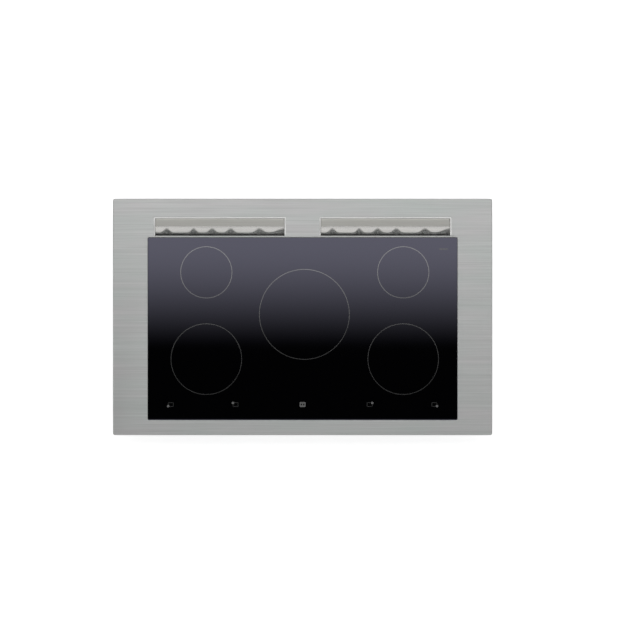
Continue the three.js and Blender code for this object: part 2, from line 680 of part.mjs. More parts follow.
const FAN_Z = BASE_Z + 2 + GAP;
const FAN_H = 32;
const ROTOR_R = 36;
const SHAFT_R = 2.5;
const FAN_WALL = 2;
const FAN_SHELL = { w: 96, d: 90, r: 14 };
const OUTLET = { halfW: 34, z: FAN_Z + 8, end: 62 };
const FAN_INTAKE_R = 29;
function fanHousing() {
  const z1 = FAN_Z + FAN_H;
  const chamberTop = z1 - FAN_WALL;
  const { halfW, z, end } = OUTLET;
  const spoutHalfW = halfW + FAN_WALL;
  const shell = slab(FAN_SHELL.w, FAN_SHELL.d, FAN_SHELL.r, FAN_Z, z1, 0, 0);
  const spout = block(-spoutHalfW, spoutHalfW, FAN_SHELL.d / 2 - 5, end, z - FAN_WALL, z1);
  const outlet = block(-halfW, halfW, 0, end + 1, z, chamberTop);
  const chamber = disc(ROTOR_R + 5, FAN_Z + FAN_WALL, chamberTop);
  const intake = disc(FAN_INTAKE_R, FAN_Z - 1, FAN_Z + FAN_WALL + 1);
  const shaft = disc(SHAFT_R, z, chamberTop + 1, 0, 0, TINY_ROUND);
  return join(cut(join(shell, spout), outlet, chamber, intake), shaft);
}

const ROTOR = { hubR: 12, coneR: 14, hubZ: 3, t: 1.5, ringW: 4, play: 4 };
const BLADE = { count: 10, w: 10, t: 1.1, inset: 6, turn: 0.6 };
function fanRotor() {
  const [z0, z1] = [FAN_Z + ROTOR.play, FAN_Z + FAN_H - ROTOR.play];
  const bore = SHAFT_R + 2 * GAP;
  const wheel = turned(
    [
      [bore, z0 + ROTOR.hubZ],
      [ROTOR.hubR, z0 + ROTOR.hubZ],
      [ROTOR.coneR, z1 - ROTOR.t],
      [ROTOR_R, z1 - ROTOR.t],
      [ROTOR_R, z1],
      [bore, z1],
    ],
    SMALL_ROUND,
  );
  const frontRing = tube(ROTOR_R, ROTOR_R - ROTOR.ringW, z0, z0 + ROTOR.t);
  const blades = spokes(BLADE.count, () => {
    const blade = new THREE.BoxGeometry(BLADE.w, BLADE.t, z1 - z0 - 1);
    return solidOf(blade.rotateZ(BLADE.turn).translate(ROTOR_R - BLADE.inset, 0, (z0 + z1) / 2));
  });
  return join(wheel, frontRing, blades);
}

const FILTER = { w: 170, d: 50, y: 231, postX: [-78, 78], chokeX: -40, capacitorX: [4, 34] };
function filterBoard() {
  const { w, d, y, postX, chokeX, capacitorX } = FILTER;
  const board = slab(w, d, BOARD_R, BOARD_Z, BOARD_TOP, 0, y);
  const posts = postX.map((x) => disc(3, CASE_T + GAP, BOARD_Z + LAP, x, y, TINY_ROUND));
  const choke = tube(18, 8, BOARD_TOP - LAP, BOARD_TOP + 16, chokeX, y);
  const capacitors = capacitorX.map((x) => fitted(x, x + 22, y - 17, 34, 20));
  return join(board, posts, choke, capacitors);
}

// ---- Mains terminal in the back wall ---------------------------------------------------------------------
const TERMINAL_WALL = 2;
const TERMINAL_FRONT_Y = 219;
const HINGE = { x: LID.x0 - 3, y: CASE_BACK_Y + 3.6, r: 1.5 };
function terminalBox() {
  const wall = TERMINAL_WALL;
  const [x0, x1] = [LID.x0 + LID_LAP + GAP, LID.x1 - LID_LAP - GAP];
  const [z0, z1] = [LID.z0 + LID_LAP + GAP, LID.z1 - LID_LAP - GAP];
  const [y0, y1] = [TERMINAL_FRONT_Y, CASE_BACK_Y + 0.4];
  const leadWindow = block(x1 - 5, x1 + 5, 224, 240, 16, 32);
  const box = cut(
    block(x0, x1, y0, y1, z0, z1),
    block(x0 + wall, x1 - wall, y0 + wall, y1 + 5, z0 + wall, z1 - wall),
    leadWindow,
  );
  const ear = (low, high) => block(HINGE.x - 2, x0 + 1, y1 - 1, HINGE.y + 2, low, high);
  const wallRoom = block(-FRAME_W / 2, LID.x0 + LID_LAP + 2 * GAP, y0, CASE_BACK_Y + GAP, 0, SEAT_Z);
  const ears = [ear(z0, z0 + 4), ear(z1 - 4, z1)].map((one) => cut(one, wallRoom));
  return join(box, ears, disc(HINGE.r, z0 + 3, z1 - 3, HINGE.x, HINGE.y, TINY_ROUND));
}

function terminalLid() {
  const [z0, z1] = [LID.z0, LID.z1];
  const [y0, y1] = [CASE_BACK_Y + 0.8, CASE_BACK_Y + 2.8];
  const knuckleZ = [LID.z0 + 8, LID.z1 - 8];
  const earNotch = (low, high) => block(LID.x0 - 1, LID.x0 + 6, y0 - 1, y1 + 1, low, high);
  const leaf = cut(
    block(LID.x0, LID.x1, y0, y1, z0, z1),
    earNotch(z0 - 1, knuckleZ[0]),
    earNotch(knuckleZ[1], z1 + 1),
  );
  const strap = block(HINGE.x, LID.x0 + 1, y0, y1, ...knuckleZ);
  const knuckle = disc(HINGE.r + 1.3, ...knuckleZ, HINGE.x, HINGE.y, 12);
  const bore = disc(HINGE.r + 0.5, knuckleZ[0] - 1, knuckleZ[1] + 1, HINGE.x, HINGE.y, TINY_ROUND);
  const grip = block(LID.x1 - 5, LID.x1 - 2, y1 - 0.5, y1 + 1.5, 20, 34);
  return join(cut(join(leaf, strap, knuckle), bore), grip);
}

const TERMINAL = { ways: 6, pitch: 12, x: -336, y0: 222, y1: 246, z0: 15, z1: 30 };
function terminalBlock() {
  const { ways, pitch, x, y0, y1, z0, z1 } = TERMINAL;
  const [halfW, middleY] = [(ways * pitch) / 2, (y0 + y1) / 2];
  const body = block(x - halfW, x + halfW, y0, y1, z0, z1);
  const places = rowOf(ways, pitch, x);
  const wells = places.map((wayX) => disc(3.4, z1 - 4, z1 + 2, wayX, middleY, 6));
  const slots = places.map((wayX) => block(wayX - 3, wayX + 3, y1 - 6, y1 + 4, z0 + 2, z0 + 8));
  const footZ = LID.z0 + LID_LAP + 2 * GAP + TERMINAL_WALL;
  const foot = block(x - halfW + 10, x + halfW - 10, y0 + 4, y1 - 4, footZ, z0 + 1);
  return join(cut(body, wells, slots), foot);
}

// A cable gland about the origin, along Z, turned into the back wall where it is placed.
function cableGland() {
  const flangeIn = -6;
  const body = turned(
    [
      [4.6, flangeIn],
      [GLAND.r - GAP, flangeIn],
      [GLAND.r - GAP, GAP],
      [GLAND.r + 3, GAP],
      [GLAND.r + 3, 4],
      [7.4, 6],
      [6.2, 11],
      [4.6, 11],
    ],
    12,
  );
  const grips = spokes(6, () => block(8.6, 13, -2, 2, 0.6, 3.6));
  return join(body, grips);
}

// ---- Worktop clamps --------------------------------------------------------------------------------------
// A jack screw stands upright in a bracket on the case wall. Its arm lies along the wall until the screw
// turns it out under the worktop, and then climbs the screw. In each clamp's own frame +X points out of the
// case wall from its outer face.
const CLAMP_AXIS = 9.5;
const SCREW_R = 2.4;
const BRACKET = { z0: 6, z1: 52, t: 1.5, halfW: 16, lugHalfW: 9, lugEnd: 18 };
function clampBracket() {
  const { z0, z1, t, halfW, lugHalfW, lugEnd } = BRACKET;
  const back = block(GAP, GAP + t, -halfW, halfW, z0, z1);
  const lugs = [z0, z1 - t].map((z) => {
    const bore = disc(SCREW_R + 0.4, z - 1, z + 2 * t, CLAMP_AXIS, 0, 12);
    return cut(block(GAP, lugEnd, -lugHalfW, lugHalfW, z, z + t), bore);
  });
  return join(back, lugs);
}

function clampScrew() {
  const head = cut(disc(4.8, 2, 5.6, 0, 0, 12), disc(2.2, 1, 4, 0, 0, 6));
  return join(head, disc(SCREW_R, 5, 54, 0, 0, TINY_ROUND), disc(3.6, 7.9, 9, 0, 0, TINY_ROUND));
}

const ARM = { z0: 9.4, z1: 20.4, bossR: 6.2, halfW: 5, reach: 42, t: 3 };
function clampArm() {
  const { z0, z1, bossR, halfW, reach, t } = ARM;
  const boss = disc(bossR, z0, z1);
  const finger = block(-halfW, halfW, 0, reach, z1 - t, z1);
  const claw = block(-halfW, halfW, reach - t, reach, z1 - 1, z1 + 2);
  const gusset = alongX(
    [
      [4, z0],
      [6, z0],
      [30, z1 - 2],
      [4, z1 - 2],
    ],
    -1,
    1,
  );
  return cut(join(boss, finger, claw, gusset), disc(SCREW_R + 2 * GAP, z0 - 1, z1 + 1, 0, 0, TINY_ROUND));
}

// ---- Assembly --------------------------------------------------------------------------------------------
const cooktop = new THREE.Group();

function add(name, solid, look, place = [0, 0, 0], turnZ = 0, parent = cooktop) {
  const mesh = new THREE.Mesh(geometryOf(solid), look);
  mesh.name = name;
  mesh.position.set(...place);
  mesh.rotation.z = turnZ;
  parent.add(mesh);
  return mesh;
}

add("top_frame", topFrame(), LOOK.brushedSteel);
const glassEdges = [GLASS_UNDER_Z, GLASS_TOP_Z, FACET_W, FACET_H];
add("glass_panel", facetedPlate(GLASS_W, GLASS_D, GLASS_R, ...glassEdges, 0, GLASS_Y), LOOK.glass);
add("glass_seal", glassSeal(), LOOK.silicone);
add("glass_support", glassSupport(), LOOK.galvanised);
add("bottom_tray", bottomTray(), LOOK.galvanised);
add("foam_seal", foamSeal(), LOOK.foam);
add("insulation_sheet", insulationSheet(), LOOK.mica);

[
  ["left", -1],
  ["right", 1],
].forEach(([side, sign]) => {
  add(`vent_insert_${side}`, ventInsert(), LOOK.polishedSteel, [sign * VENT_X, 0, 0]);
  add(`wing_stiffener_${side}`, wingStiffener(), LOOK.galvanised, [sign * WING_X, 0, 0]);
  const module = new THREE.Group();
  module.position.x = sign * FAN_X;
  cooktop.add(module);
  add(`module_base_${side}`, moduleBase(), LOOK.greyPlastic, [0, 0, 0], 0, module);
  add(`power_board_${side}`, powerBoard(), LOOK.circuitBoard, [0, 0, 0], 0, module);
  add(`heat_sink_${side}`, heatSink(), LOOK.aluminium, [0, 0, 0], 0, module);
  add(`fan_housing_${side}`, fanHousing(), LOOK.darkPlastic, [0, FAN_Y, 0], 0, module);
  add(`fan_rotor_${side}`, fanRotor(), LOOK.darkPlastic, [0, FAN_Y, 0], 0, module);
});

const zoneNamed = (name) => ZONES.find((zone) => zone.name === name);
[
  ["left", -392, -150, ["rear_left", "front_left"]],
  ["centre", -146, 156, ["centre"]],
  ["right", 160, 392, ["rear_right", "front_right"]],
].forEach(([side, x0, x1, names]) => {
  add(`coil_carrier_${side}`, coilCarrier(x0, x1, names.map(zoneNamed)), LOOK.aluminium);
});

ZONES.forEach((zone) => {
  const coil = new THREE.Group();
  coil.position.set(zone.x, zone.y, 0);
  cooktop.add(coil);
  add(`coil_winding_${zone.name}`, coilWinding(zone), LOOK.copper, [0, 0, 0], 0, coil);
  add(`coil_former_${zone.name}`, coilFormer(zone), LOOK.darkPlastic, [0, 0, 0], 0, coil);
  add(`coil_spring_${zone.name}`, coilSpring(), LOOK.springSteel, [0, 0, 0], 0, coil);
});

add("touch_board", touchBoard(), LOOK.circuitBoard);
add("touch_housing", touchHousing(), LOOK.darkPlastic);
add("filter_board", filterBoard(), LOOK.circuitBoard);
add("terminal_box", terminalBox(), LOOK.darkPlastic);
add("terminal_block", terminalBlock(), LOOK.greyPlastic);
add("terminal_lid", terminalLid(), LOOK.darkPlastic);
const gland = add("cable_gland", cableGland(), LOOK.darkPlastic, [GLAND.x, CASE_BACK_Y, GLAND.z]);
gland.rotation.x = -Math.PI / 2;

[
  ["front_right", 1, -150],
  ["rear_right", 1, 110],
  ["front_left", -1, -110],
  ["rear_left", -1, 150],
].forEach(([where, sign, y]) => {
  const clamp = new THREE.Group();
  clamp.position.set(sign * CASE_HALF_W, y, 0);
  clamp.rotation.z = sign > 0 ? 0 : Math.PI;
  cooktop.add(clamp);
  add(`clamp_bracket_${where}`, clampBracket(), LOOK.zincSteel, [0, 0, 0], 0, clamp);
  add(`clamp_screw_${where}`, clampScrew(), LOOK.zincSteel, [CLAMP_AXIS, 0, 0], 0, clamp);
  add(`clamp_arm_${where}`, clampArm(), LOOK.zincSteel, [CLAMP_AXIS, 0, 0], 0, clamp);
});

export default cooktop;
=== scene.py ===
"""Looks for a drop-in induction cooktop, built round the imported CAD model, in metres.

Blender adds what the CAD solids leave plain: the printed rings and touch symbols on the glass, the polished
vent pressings, litz windings, screws, seams and fittings, and every surface's material.
"""

import json
import math

import bpy
from mathutils import Matrix, Vector


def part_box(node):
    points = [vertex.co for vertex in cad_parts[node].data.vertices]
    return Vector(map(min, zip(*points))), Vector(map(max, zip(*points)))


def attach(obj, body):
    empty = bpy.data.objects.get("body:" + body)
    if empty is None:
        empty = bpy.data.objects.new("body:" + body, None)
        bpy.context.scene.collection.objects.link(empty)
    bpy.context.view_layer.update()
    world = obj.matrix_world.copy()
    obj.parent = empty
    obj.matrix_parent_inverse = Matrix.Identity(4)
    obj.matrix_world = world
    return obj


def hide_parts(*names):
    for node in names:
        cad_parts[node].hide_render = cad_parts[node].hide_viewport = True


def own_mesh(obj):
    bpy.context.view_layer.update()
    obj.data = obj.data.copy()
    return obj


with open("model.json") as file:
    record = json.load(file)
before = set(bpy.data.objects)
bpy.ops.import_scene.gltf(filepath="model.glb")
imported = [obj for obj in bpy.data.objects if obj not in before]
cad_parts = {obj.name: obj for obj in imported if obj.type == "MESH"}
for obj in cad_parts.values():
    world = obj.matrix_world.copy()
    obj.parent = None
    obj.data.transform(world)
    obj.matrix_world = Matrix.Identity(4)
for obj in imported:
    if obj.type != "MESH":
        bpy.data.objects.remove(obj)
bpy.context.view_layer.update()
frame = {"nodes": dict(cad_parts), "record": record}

MM = 0.001
CASE = "case"

# Cooking zones: the printed ring's centre comes from the coil under it, and its radius from the coil's edge.
ZONES = ("rear_left", "rear_right", "front_left", "front_right", "centre")
RING_OUTSIDE_COIL = 4 * MM
RING_WIDTH = 1.5 * MM
RING_STEPS = 200
PRINT_HEIGHT = 0.06 * MM
PRINT_SUNK = 0.02 * MM

# Touch symbols along the front of the glass.
SYMBOL_X = (-334 * MM, -170 * MM, 0, 170 * MM, 334 * MM)
SYMBOL_Y = -222 * MM
SYMBOL_SIZE = (14 * MM, 11 * MM)
SYMBOL_LINE = 1.2 * MM
SYMBOL_CORNER = 2.5 * MM
PLATE_SIZE = (15 * MM, 12.5 * MM)
DOT_RADIUS = 3.2 * MM
DOT_INSET = (0.4 * MM, 1.5 * MM)
DOT_CORNERS = ((-1, -1), (-1, 1), None, (1, 1), (1, -1))
CORNER_MARK = (357 * MM, 172 * MM)
CORNER_MARK_SIZE = (22 * MM, 2.4 * MM)

# The vent pressings, from the outer rim inwards and down.
VENT_HALF_W = 163.5 * MM
VENT_LIP_W = 1.5 * MM
VENT_SLOPE_W = 1.9 * MM
VENT_RIM_Z = 71.4 * MM
VENT_BACK = (248.9 * MM, 70.4 * MM)
VENT_BEND = (229.3 * MM, 66.8 * MM)
VENT_FRONT_Y = 206.3 * MM
VENT_FACE_D = 21 * MM
VENT_FACE_SLOPE = 8 * MM
VENT_FIRST = 0.6  # how steep the slope already is at the bend, against its mean
VENT_FACE_ROUND = 6 * MM
VENT_TURN = 0.77
VENT_FOOT = (207.4 * MM, 47 * MM)
VENT_SHEET = 1 * MM
VENT_COLUMNS = 164
LEDGE_SHARES = (0, 0.3, 0.6, 0.9, 0.97)  # rows across the flat ledge, closer at the bend

CAMERA_HEIGHT = 12
SENSOR_W = 36
VIEW_W = 1.6218
VIEW_CENTRE = (0.0441, -0.0078)

glass_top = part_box("glass_panel")[1].z
steel_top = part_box("top_frame")[1].z


# ---- Nodes -----------------------------------------------
def new_material(name, color, roughness, metallic=0.0, **sockets):
    """A Principled material; sockets sets its other inputs, with _ for each space in their names."""
    made = bpy.data.materials.new(name)
    made.use_nodes = True
    made.diffuse_color = (*color, 1)
    shader = made.node_tree.nodes["Principled BSDF"]
    shader.inputs["Base Color"].default_value = (*color, 1)
    shader.inputs["Roughness"].default_value = roughness
    shader.inputs["Metallic"].default_value = metallic
    for socket, value in sockets.items():
        shader.inputs[socket.replace("_", " ")].default_value = value
    return made


def node(made, kind, inputs=None, **settings):
    """Adds a node to a material. inputs maps each input's name or number to a value or an output to link."""
    added = made.node_tree.nodes.new("ShaderNode" + kind)
    for key, value in settings.items():
        setattr(added, key, value)
    for key, value in (inputs or {}).items():
        if isinstance(value, bpy.types.NodeSocket):
            made.node_tree.links.new(value, added.inputs[key])
        else:
            added.inputs[key].default_value = value
    return added


def feed(made, socket, output):
    """Links an output to one of the Principled shader's inputs."""
    made.node_tree.links.new(output, made.node_tree.nodes["Principled BSDF"].inputs[socket])


def coordinates(made, scale=(1, 1, 1), turn=(0, 0, 0)):
    """The object's own coordinates in metres, turned and scaled."""
    place = node(made, "TexCoord").outputs["Object"]
    return node(made, "Mapping", {"Vector": place, "Scale": scale, "Rotation": turn}).outputs["Vector"]


def noise(made, place, scale, detail=2.0, rough=0.5, warp=0.0):
    inputs = {"Vector": place, "Scale": scale, "Detail": detail, "Roughness": rough, "Distortion": warp}
    return node(made, "TexNoise", inputs).outputs["Fac"]


def spread(made, value, low, high, start=0.3, end=0.7):
    """Maps a texture's start to end range onto low to high, and clamps it."""
    inputs = {"Value": value, "From Min": start, "From Max": end, "To Min": low, "To Max": high}
    return node(made, "MapRange", inputs).outputs["Result"]


def tint(made, value, first, second, mode="MIX"):
    """A colour that goes from first to second as value goes from 0 to 1."""
    mixed = node(made, "Mix", {0: value}, data_type="RGBA", blend_type=mode)
    for socket, color in ((6, first), (7, second)):
        if isinstance(color, bpy.types.NodeSocket):
            made.node_tree.links.new(color, mixed.inputs[socket])
        else:
            mixed.inputs[socket].default_value = (*color, 1)
    return mixed.outputs[2]


def maths(made, operation, first, second=0.0):
    return node(made, "Math", {0: first, 1: second}, operation=operation).outputs["Value"]


def bump(made, height, distance, strength=1.0):
    inputs = {"Height": height, "Distance": distance, "Strength": strength}
    feed(made, "Normal", node(made, "Bump", inputs).outputs["Normal"])


# ---- Materials -------------------------------------------
def brushed_steel():
    """Stainless sheet brushed from left to right, with the faint warm and cool blotches of rolled plate."""
    made = new_material("brushed_steel", (0.53, 0.55, 0.54), 0.48, 1.0, Anisotropic=0.5)
    fine = noise(made, coordinates(made, (7, 1100, 60)), 1, 3, 0.6)
    long = noise(made, coordinates(made, (2.2, 300, 20)), 1, 4, 0.7)
    blotch = noise(made, coordinates(made, (5, 22, 5)), 1, 2, 0.5)
    cast = tint(made, spread(made, blotch, 0, 1), (0.545, 0.58, 0.562), (0.585, 0.575, 0.578))
    streaked = tint(made, spread(made, long, 0, 0.46), cast, (0.37, 0.384, 0.375))
    lines = tint(made, spread(made, fine, 0, 0.3), streaked, (0.31, 0.315, 0.312))
    feed(made, "Base Color", lines)
    feed(made, "Roughness", spread(made, fine, 0.44, 0.54))
    across = node(made, "CombineXYZ", {"Y": 1.0}).outputs["Vector"]
    feed(made, "Tangent", across)
    bump(made, fine, 0.01 * MM)
    return made


def satin(name, light, dark, roughness):
    """Stainless steel with fine lengthwise streaks: light and dark are the streaks' two colours."""
    made = new_material(name, light, sum(roughness) / 2, 1.0)
    streak = noise(made, coordinates(made, (6, 500, 300)), 1, 3, 0.6)
    feed(made, "Base Color", tint(made, spread(made, streak, 0, 1), light, dark))
    feed(made, "Roughness", spread(made, streak, *roughness))
    return made


def black_glass():
    """Opaque ceramic glass, whose polished face mirrors with a violet cast."""
    made = new_material("black_glass", (0.0006, 0.0006, 0.0008), 0.04, IOR=1.52, Specular_IOR_Level=1.0)
    made.node_tree.nodes["Principled BSDF"].inputs["Specular Tint"].default_value = (0.77, 0.76, 1.0, 1)
    smear = noise(made, coordinates(made, (9, 14, 9)), 1, 4, 0.6)
    feed(made, "Roughness", spread(made, smear, 0.025, 0.05))
    return made


def print_ink(name, grey, ior):
    """Baked enamel ink, which shines more than the glass it lies on."""
    made = new_material(name, (grey, grey, grey), 0.15, IOR=ior)
    grain = noise(made, coordinates(made), 2500, 1)
    low, high = (0.88 * grey,) * 3, (1.12 * grey,) * 3
    feed(made, "Base Color", tint(made, spread(made, grain, 0, 1), low, high))
    return made


def galvanised_steel():
    """Hot-dip galvanised sheet: zinc crystals a few millimetres across, each with its own grey and shine."""
    made = new_material("galvanised_steel", (0.37, 0.385, 0.395), 0.42, 0.85)
    wavering = noise(made, coordinates(made), 60, 3, 0.6)
    place = node(made, "VectorMath", {0: coordinates(made), 1: (0, 0, 0)}, operation="ADD")
    made.node_tree.links.new(maths(made, "MULTIPLY", wavering, 0.006), place.inputs[1])
    crystal = node(made, "TexVoronoi", {"Vector": place.outputs["Vector"], "Scale": 130.0})
    shade = node(made, "SeparateColor", {"Color": crystal.outputs["Color"]}).outputs["Red"]
    fine = noise(made, coordinates(made), 900, 2)
    cast = tint(made, shade, (0.31, 0.325, 0.335), (0.43, 0.445, 0.455))
    cloudy = tint(made, spread(made, wavering, 0, 0.35), cast, (0.36, 0.375, 0.38))
    feed(made, "Base Color", tint(made, spread(made, fine, 0, 0.12), cloudy, (0.24, 0.25, 0.26)))
    feed(made, "Roughness", maths(made, "ADD", maths(made, "MULTIPLY", shade, 0.16), 0.32))
    bump(made, fine, 0.02 * MM)
    return made


def moulded(name, color, roughness, grain=1500, depth=0.03):
    """Plastic, rubber or foam with a fine cast texture and slightly uneven colour."""
    made = new_material(name, color, roughness)
    fine = noise(made, coordinates(made), grain, 3, 0.6)
    broad = noise(made, coordinates(made), 25, 3, 0.6)
    dark = tuple(0.72 * c for c in color)
    light = tuple(1.2 * c for c in color)
    uneven = tint(made, spread(made, broad, 0, 1), dark, light)
    feed(made, "Base Color", tint(made, spread(made, fine, 0, 0.4), uneven, dark))
    feed(made, "Roughness", spread(made, fine, roughness - 0.07, roughness + 0.07))
    bump(made, fine, depth * MM)
    return made


def foam():
    """Closed-cell foam tape: burst cells along its cut faces, with painted shade darkening each cell's pit.
    """
    made = new_material("foam", (0.03, 0.03, 0.032), 0.95)
    cell = node(made, "TexVoronoi", {"Vector": coordinates(made), "Scale": 700.0}).outputs["Distance"]
    broad = noise(made, coordinates(made), 40, 3)
    # painted shade: the colour darkens towards each cell's middle, where the bump sinks its pit
    depth = spread(made, cell, 0, 1, 0.1, 0.7)
    feed(made, "Base Color", tint(made, depth, (0.016, 0.016, 0.017), (0.05, 0.05, 0.052)))
    feed(made, "Roughness", spread(made, broad, 0.88, 0.98))
    bump(made, cell, 0.25 * MM)
    return made


def mica():
    """Pressed mica flakes in a buff binder."""
    made = new_material("mica", (0.48, 0.4, 0.27), 0.6)
    flake = node(made, "TexVoronoi", {"Vector": coordinates(made, (1, 1.6, 1)), "Scale": 260.0})
    shade = node(made, "SeparateColor", {"Color": flake.outputs["Color"]}).outputs["Green"]
    broad = noise(made, coordinates(made), 18, 4, 0.6)
    flakes = tint(made, shade, (0.4, 0.32, 0.2), (0.58, 0.5, 0.36))
    feed(made, "Base Color", tint(made, spread(made, broad, 0, 0.5), flakes, (0.36, 0.29, 0.18)))
    feed(made, "Roughness", maths(made, "ADD", maths(made, "MULTIPLY", shade, 0.3), 0.4))
    bump(made, flake.outputs["Distance"], 0.03 * MM)
    return made


def circuit_board():
    """Green solder mask, with the copper tracks showing through it as a paler, raised grid of routes."""
    made = new_material("circuit_board", (0.02, 0.12, 0.045), 0.35)
    wander = noise(made, coordinates(made), 35, 2)
    turned_round = coordinates(made, (1, 1, 1), (0, 0, math.pi / 2))
    bricks = {"Vector": turned_round, "Scale": 90.0, "Mortar Size": 0.06}
    track = node(made, "TexBrick", bricks, offset=0.37, squash=0.6, squash_frequency=3).outputs["Fac"]
    routed = maths(made, "MULTIPLY", track, spread(made, wander, 0.2, 1, 0.45, 0.55))
    mask = tint(made, spread(made, wander, 0, 1), (0.012, 0.085, 0.03), (0.02, 0.12, 0.045))
    feed(made, "Base Color", tint(made, routed, mask, (0.07, 0.26, 0.1)))
    feed(made, "Roughness", spread(made, wander, 0.28, 0.42))
    bump(made, routed, 0.04 * MM)
    return made


def rolled_metal(name, light, dark, roughness, metallic=1.0, scale=(12, 260, 260)):
    """Mill-finish metal: rolling marks along one direction, and cloudier patches."""
    made = new_material(name, light, sum(roughness) / 2, metallic)
    marks = noise(made, coordinates(made, scale), 1, 4, 0.6)
    cloud = noise(made, coordinates(made), 30, 3, 0.6)
    rolled = tint(made, spread(made, marks, 0, 1), light, dark)
    feed(made, "Base Color", tint(made, spread(made, cloud, 0, 0.3), rolled, dark))
    feed(made, "Roughness", spread(made, cloud, *roughness))
    bump(made, marks, 0.01 * MM)
    return made


def litz_copper():
    """Varnished copper strands that twist at a slant across the wire, with painted shade in the grooves
    between strands and a painted highlight on their crests.
    """
    made = new_material("copper", (0.5, 0.2, 0.08), 0.34, 1.0)
    slanted = coordinates(made, (1, 1, 1), (0.5, 0.4, 0.78))
    waves = {"Vector": slanted, "Scale": 330.0, "Distortion": 2.5, "Detail": 2.0}
    strand = node(made, "TexWave", waves, bands_direction="DIAGONAL").outputs["Fac"]
    cloud = noise(made, coordinates(made), 45, 3)
    # painted shade and highlight: darker where the strand bump is low, lighter where it is high
    strand_shade_and_highlight = tint(made, strand, (0.3, 0.1, 0.035), (0.62, 0.27, 0.11))
    feed(made, "Base Color", tint(made, spread(made, cloud, 0, 0.4), strand_shade_and_highlight, (0.34, 0.12, 0.05)))
    feed(made, "Roughness", spread(made, strand, 0.26, 0.44))
    bump(made, strand, 0.12 * MM)
    return made


def zinc_plate():
    """Passivated zinc plating, with the faint yellow and blue cast of its chromate film."""
    made = new_material("zinc_plated_steel", (0.5, 0.49, 0.42), 0.3, 1.0)
    film = noise(made, coordinates(made), 90, 4, 0.6)
    fine = noise(made, coordinates(made), 1200, 2)
    cast = tint(made, spread(made, film, 0, 1), (0.54, 0.52, 0.44), (0.47, 0.5, 0.52))
    feed(made, "Base Color", tint(made, spread(made, fine, 0, 0.25), cast, (0.3, 0.29, 0.26)))
    feed(made, "Roughness", spread(made, film, 0.24, 0.4))
    bump(made, fine, 0.01 * MM)
    return made


LOOKS = {
    "brushed_steel": brushed_steel(),
    "brushed_ledge": satin("brushed_ledge", (0.54, 0.535, 0.505), (0.48, 0.476, 0.45), (0.48, 0.58)),
    # painted highlight: the vent rim is the face's own steel, coloured lighter to stand in for light caught
    # on its rolled edge
    "painted_highlight_rim": satin("painted_highlight_rim", (0.9, 0.9, 0.885), (0.82, 0.82, 0.81), (0.3, 0.4)),
    "polished_steel": satin("polished_steel", (0.82, 0.81, 0.785), (0.7, 0.69, 0.67), (0.2, 0.32)),
    "black_glass": black_glass(),
    "line_print": print_ink("line_print", 0.03, 2.5),
    "bright_print": print_ink("bright_print", 0.14, 2.2),
    "faint_print": print_ink("faint_print", 0.015, 1.9),
    "silicone": moulded("silicone", (0.02, 0.02, 0.022), 0.5, 600),
    "galvanised_steel": galvanised_steel(),
    "foam": foam(),
    "mica": mica(),
    "grey_plastic": moulded("grey_plastic", (0.26, 0.27, 0.28), 0.5),
    "dark_plastic": moulded("dark_plastic", (0.018, 0.018, 0.02), 0.45),
    "circuit_board": circuit_board(),
    "aluminium": rolled_metal("aluminium", (0.54, 0.55, 0.56), (0.42, 0.43, 0.44), (0.34, 0.46)),
    "copper": litz_copper(),
    "spring_steel": rolled_metal("spring_steel", (0.32, 0.33, 0.36), (0.2, 0.2, 0.24), (0.24, 0.36)),
    "zinc_plated_steel": zinc_plate(),
}


# ---- Pieces ----------------------------------------------
def piece(name, vertices, faces, look, body=CASE, slot=None, smooth=True):
    """A mesh in the row frame that rides on a body and takes its finish from one of the looks."""
    mesh = bpy.data.meshes.new(name)
    mesh.from_pydata([tuple(v) for v in vertices], [], faces)
    mesh.update()
    if smooth:
        mesh.shade_smooth()
    mesh.materials.append(LOOKS[look])
    made = bpy.data.objects.new(name, mesh)
    bpy.context.scene.collection.objects.link(made)
    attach(made, body)
    return made


def modifier(obj, kind, **settings):
    """Adds a modifier with these settings."""
    added = obj.modifiers.new(kind.lower(), kind)
    for key, value in settings.items():
        setattr(added, key, value)
    return added


def middle(part):
    """A CAD node's middle in plan."""
    low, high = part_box(part)
    return (low.x + high.x) / 2, (low.y + high.y) / 2


def around(x, y, radius, angle):
    """The point at an angle on a circle about x, y."""
    return x + radius * math.cos(angle), y + radius * math.sin(angle)


def circle(x, y, radius, steps=48):
    """Points round a circle, anticlockwise."""
    return [around(x, y, radius, 2 * math.pi * i / steps) for i in range(steps)]


def rounded(x, y, w, d, radius, steps=6):
    """Points round a rounded rectangle, anticlockwise."""
    corners = ((1, 1, 0), (-1, 1, 1), (-1, -1, 2), (1, -1, 3))
    points = []
    for sx, sy, quarter in corners:
        cx, cy = x + sx * (w / 2 - radius), y + sy * (d / 2 - radius)
        points += [around(cx, cy, radius, math.pi / 2 * (quarter + i / steps)) for i in range(steps + 1)]
    return points


def band(outer, inner, low, high):
    """Vertices and faces of a flat closed band between two outlines with the same number of points."""
    count = len(outer)
    vertices = [(x, y, z) for z in (low, high) for ring in (outer, inner) for x, y in ring]
    faces = []
    for i in range(count):
        j = (i + 1) % count
        bottom_out, bottom_in, top_out, top_in = 0, count, 2 * count, 3 * count
        faces += [
            (top_out + i, top_out + j, top_in + j, top_in + i),
            (bottom_out + j, bottom_out + i, bottom_in + i, bottom_in + j),
            (bottom_out + i, bottom_out + j, top_out + j, top_out + i),
            (bottom_in + j, bottom_in + i, top_in + i, top_in + j),
        ]
    return vertices, faces


def merge(*parts):
    """Joins several vertex and face lists into one."""
    vertices, faces = [], []
    for part_vertices, part_faces in parts:
        start = len(vertices)
        vertices += part_vertices
        faces += [tuple(start + i for i in face) for face in part_faces]
    return vertices, faces


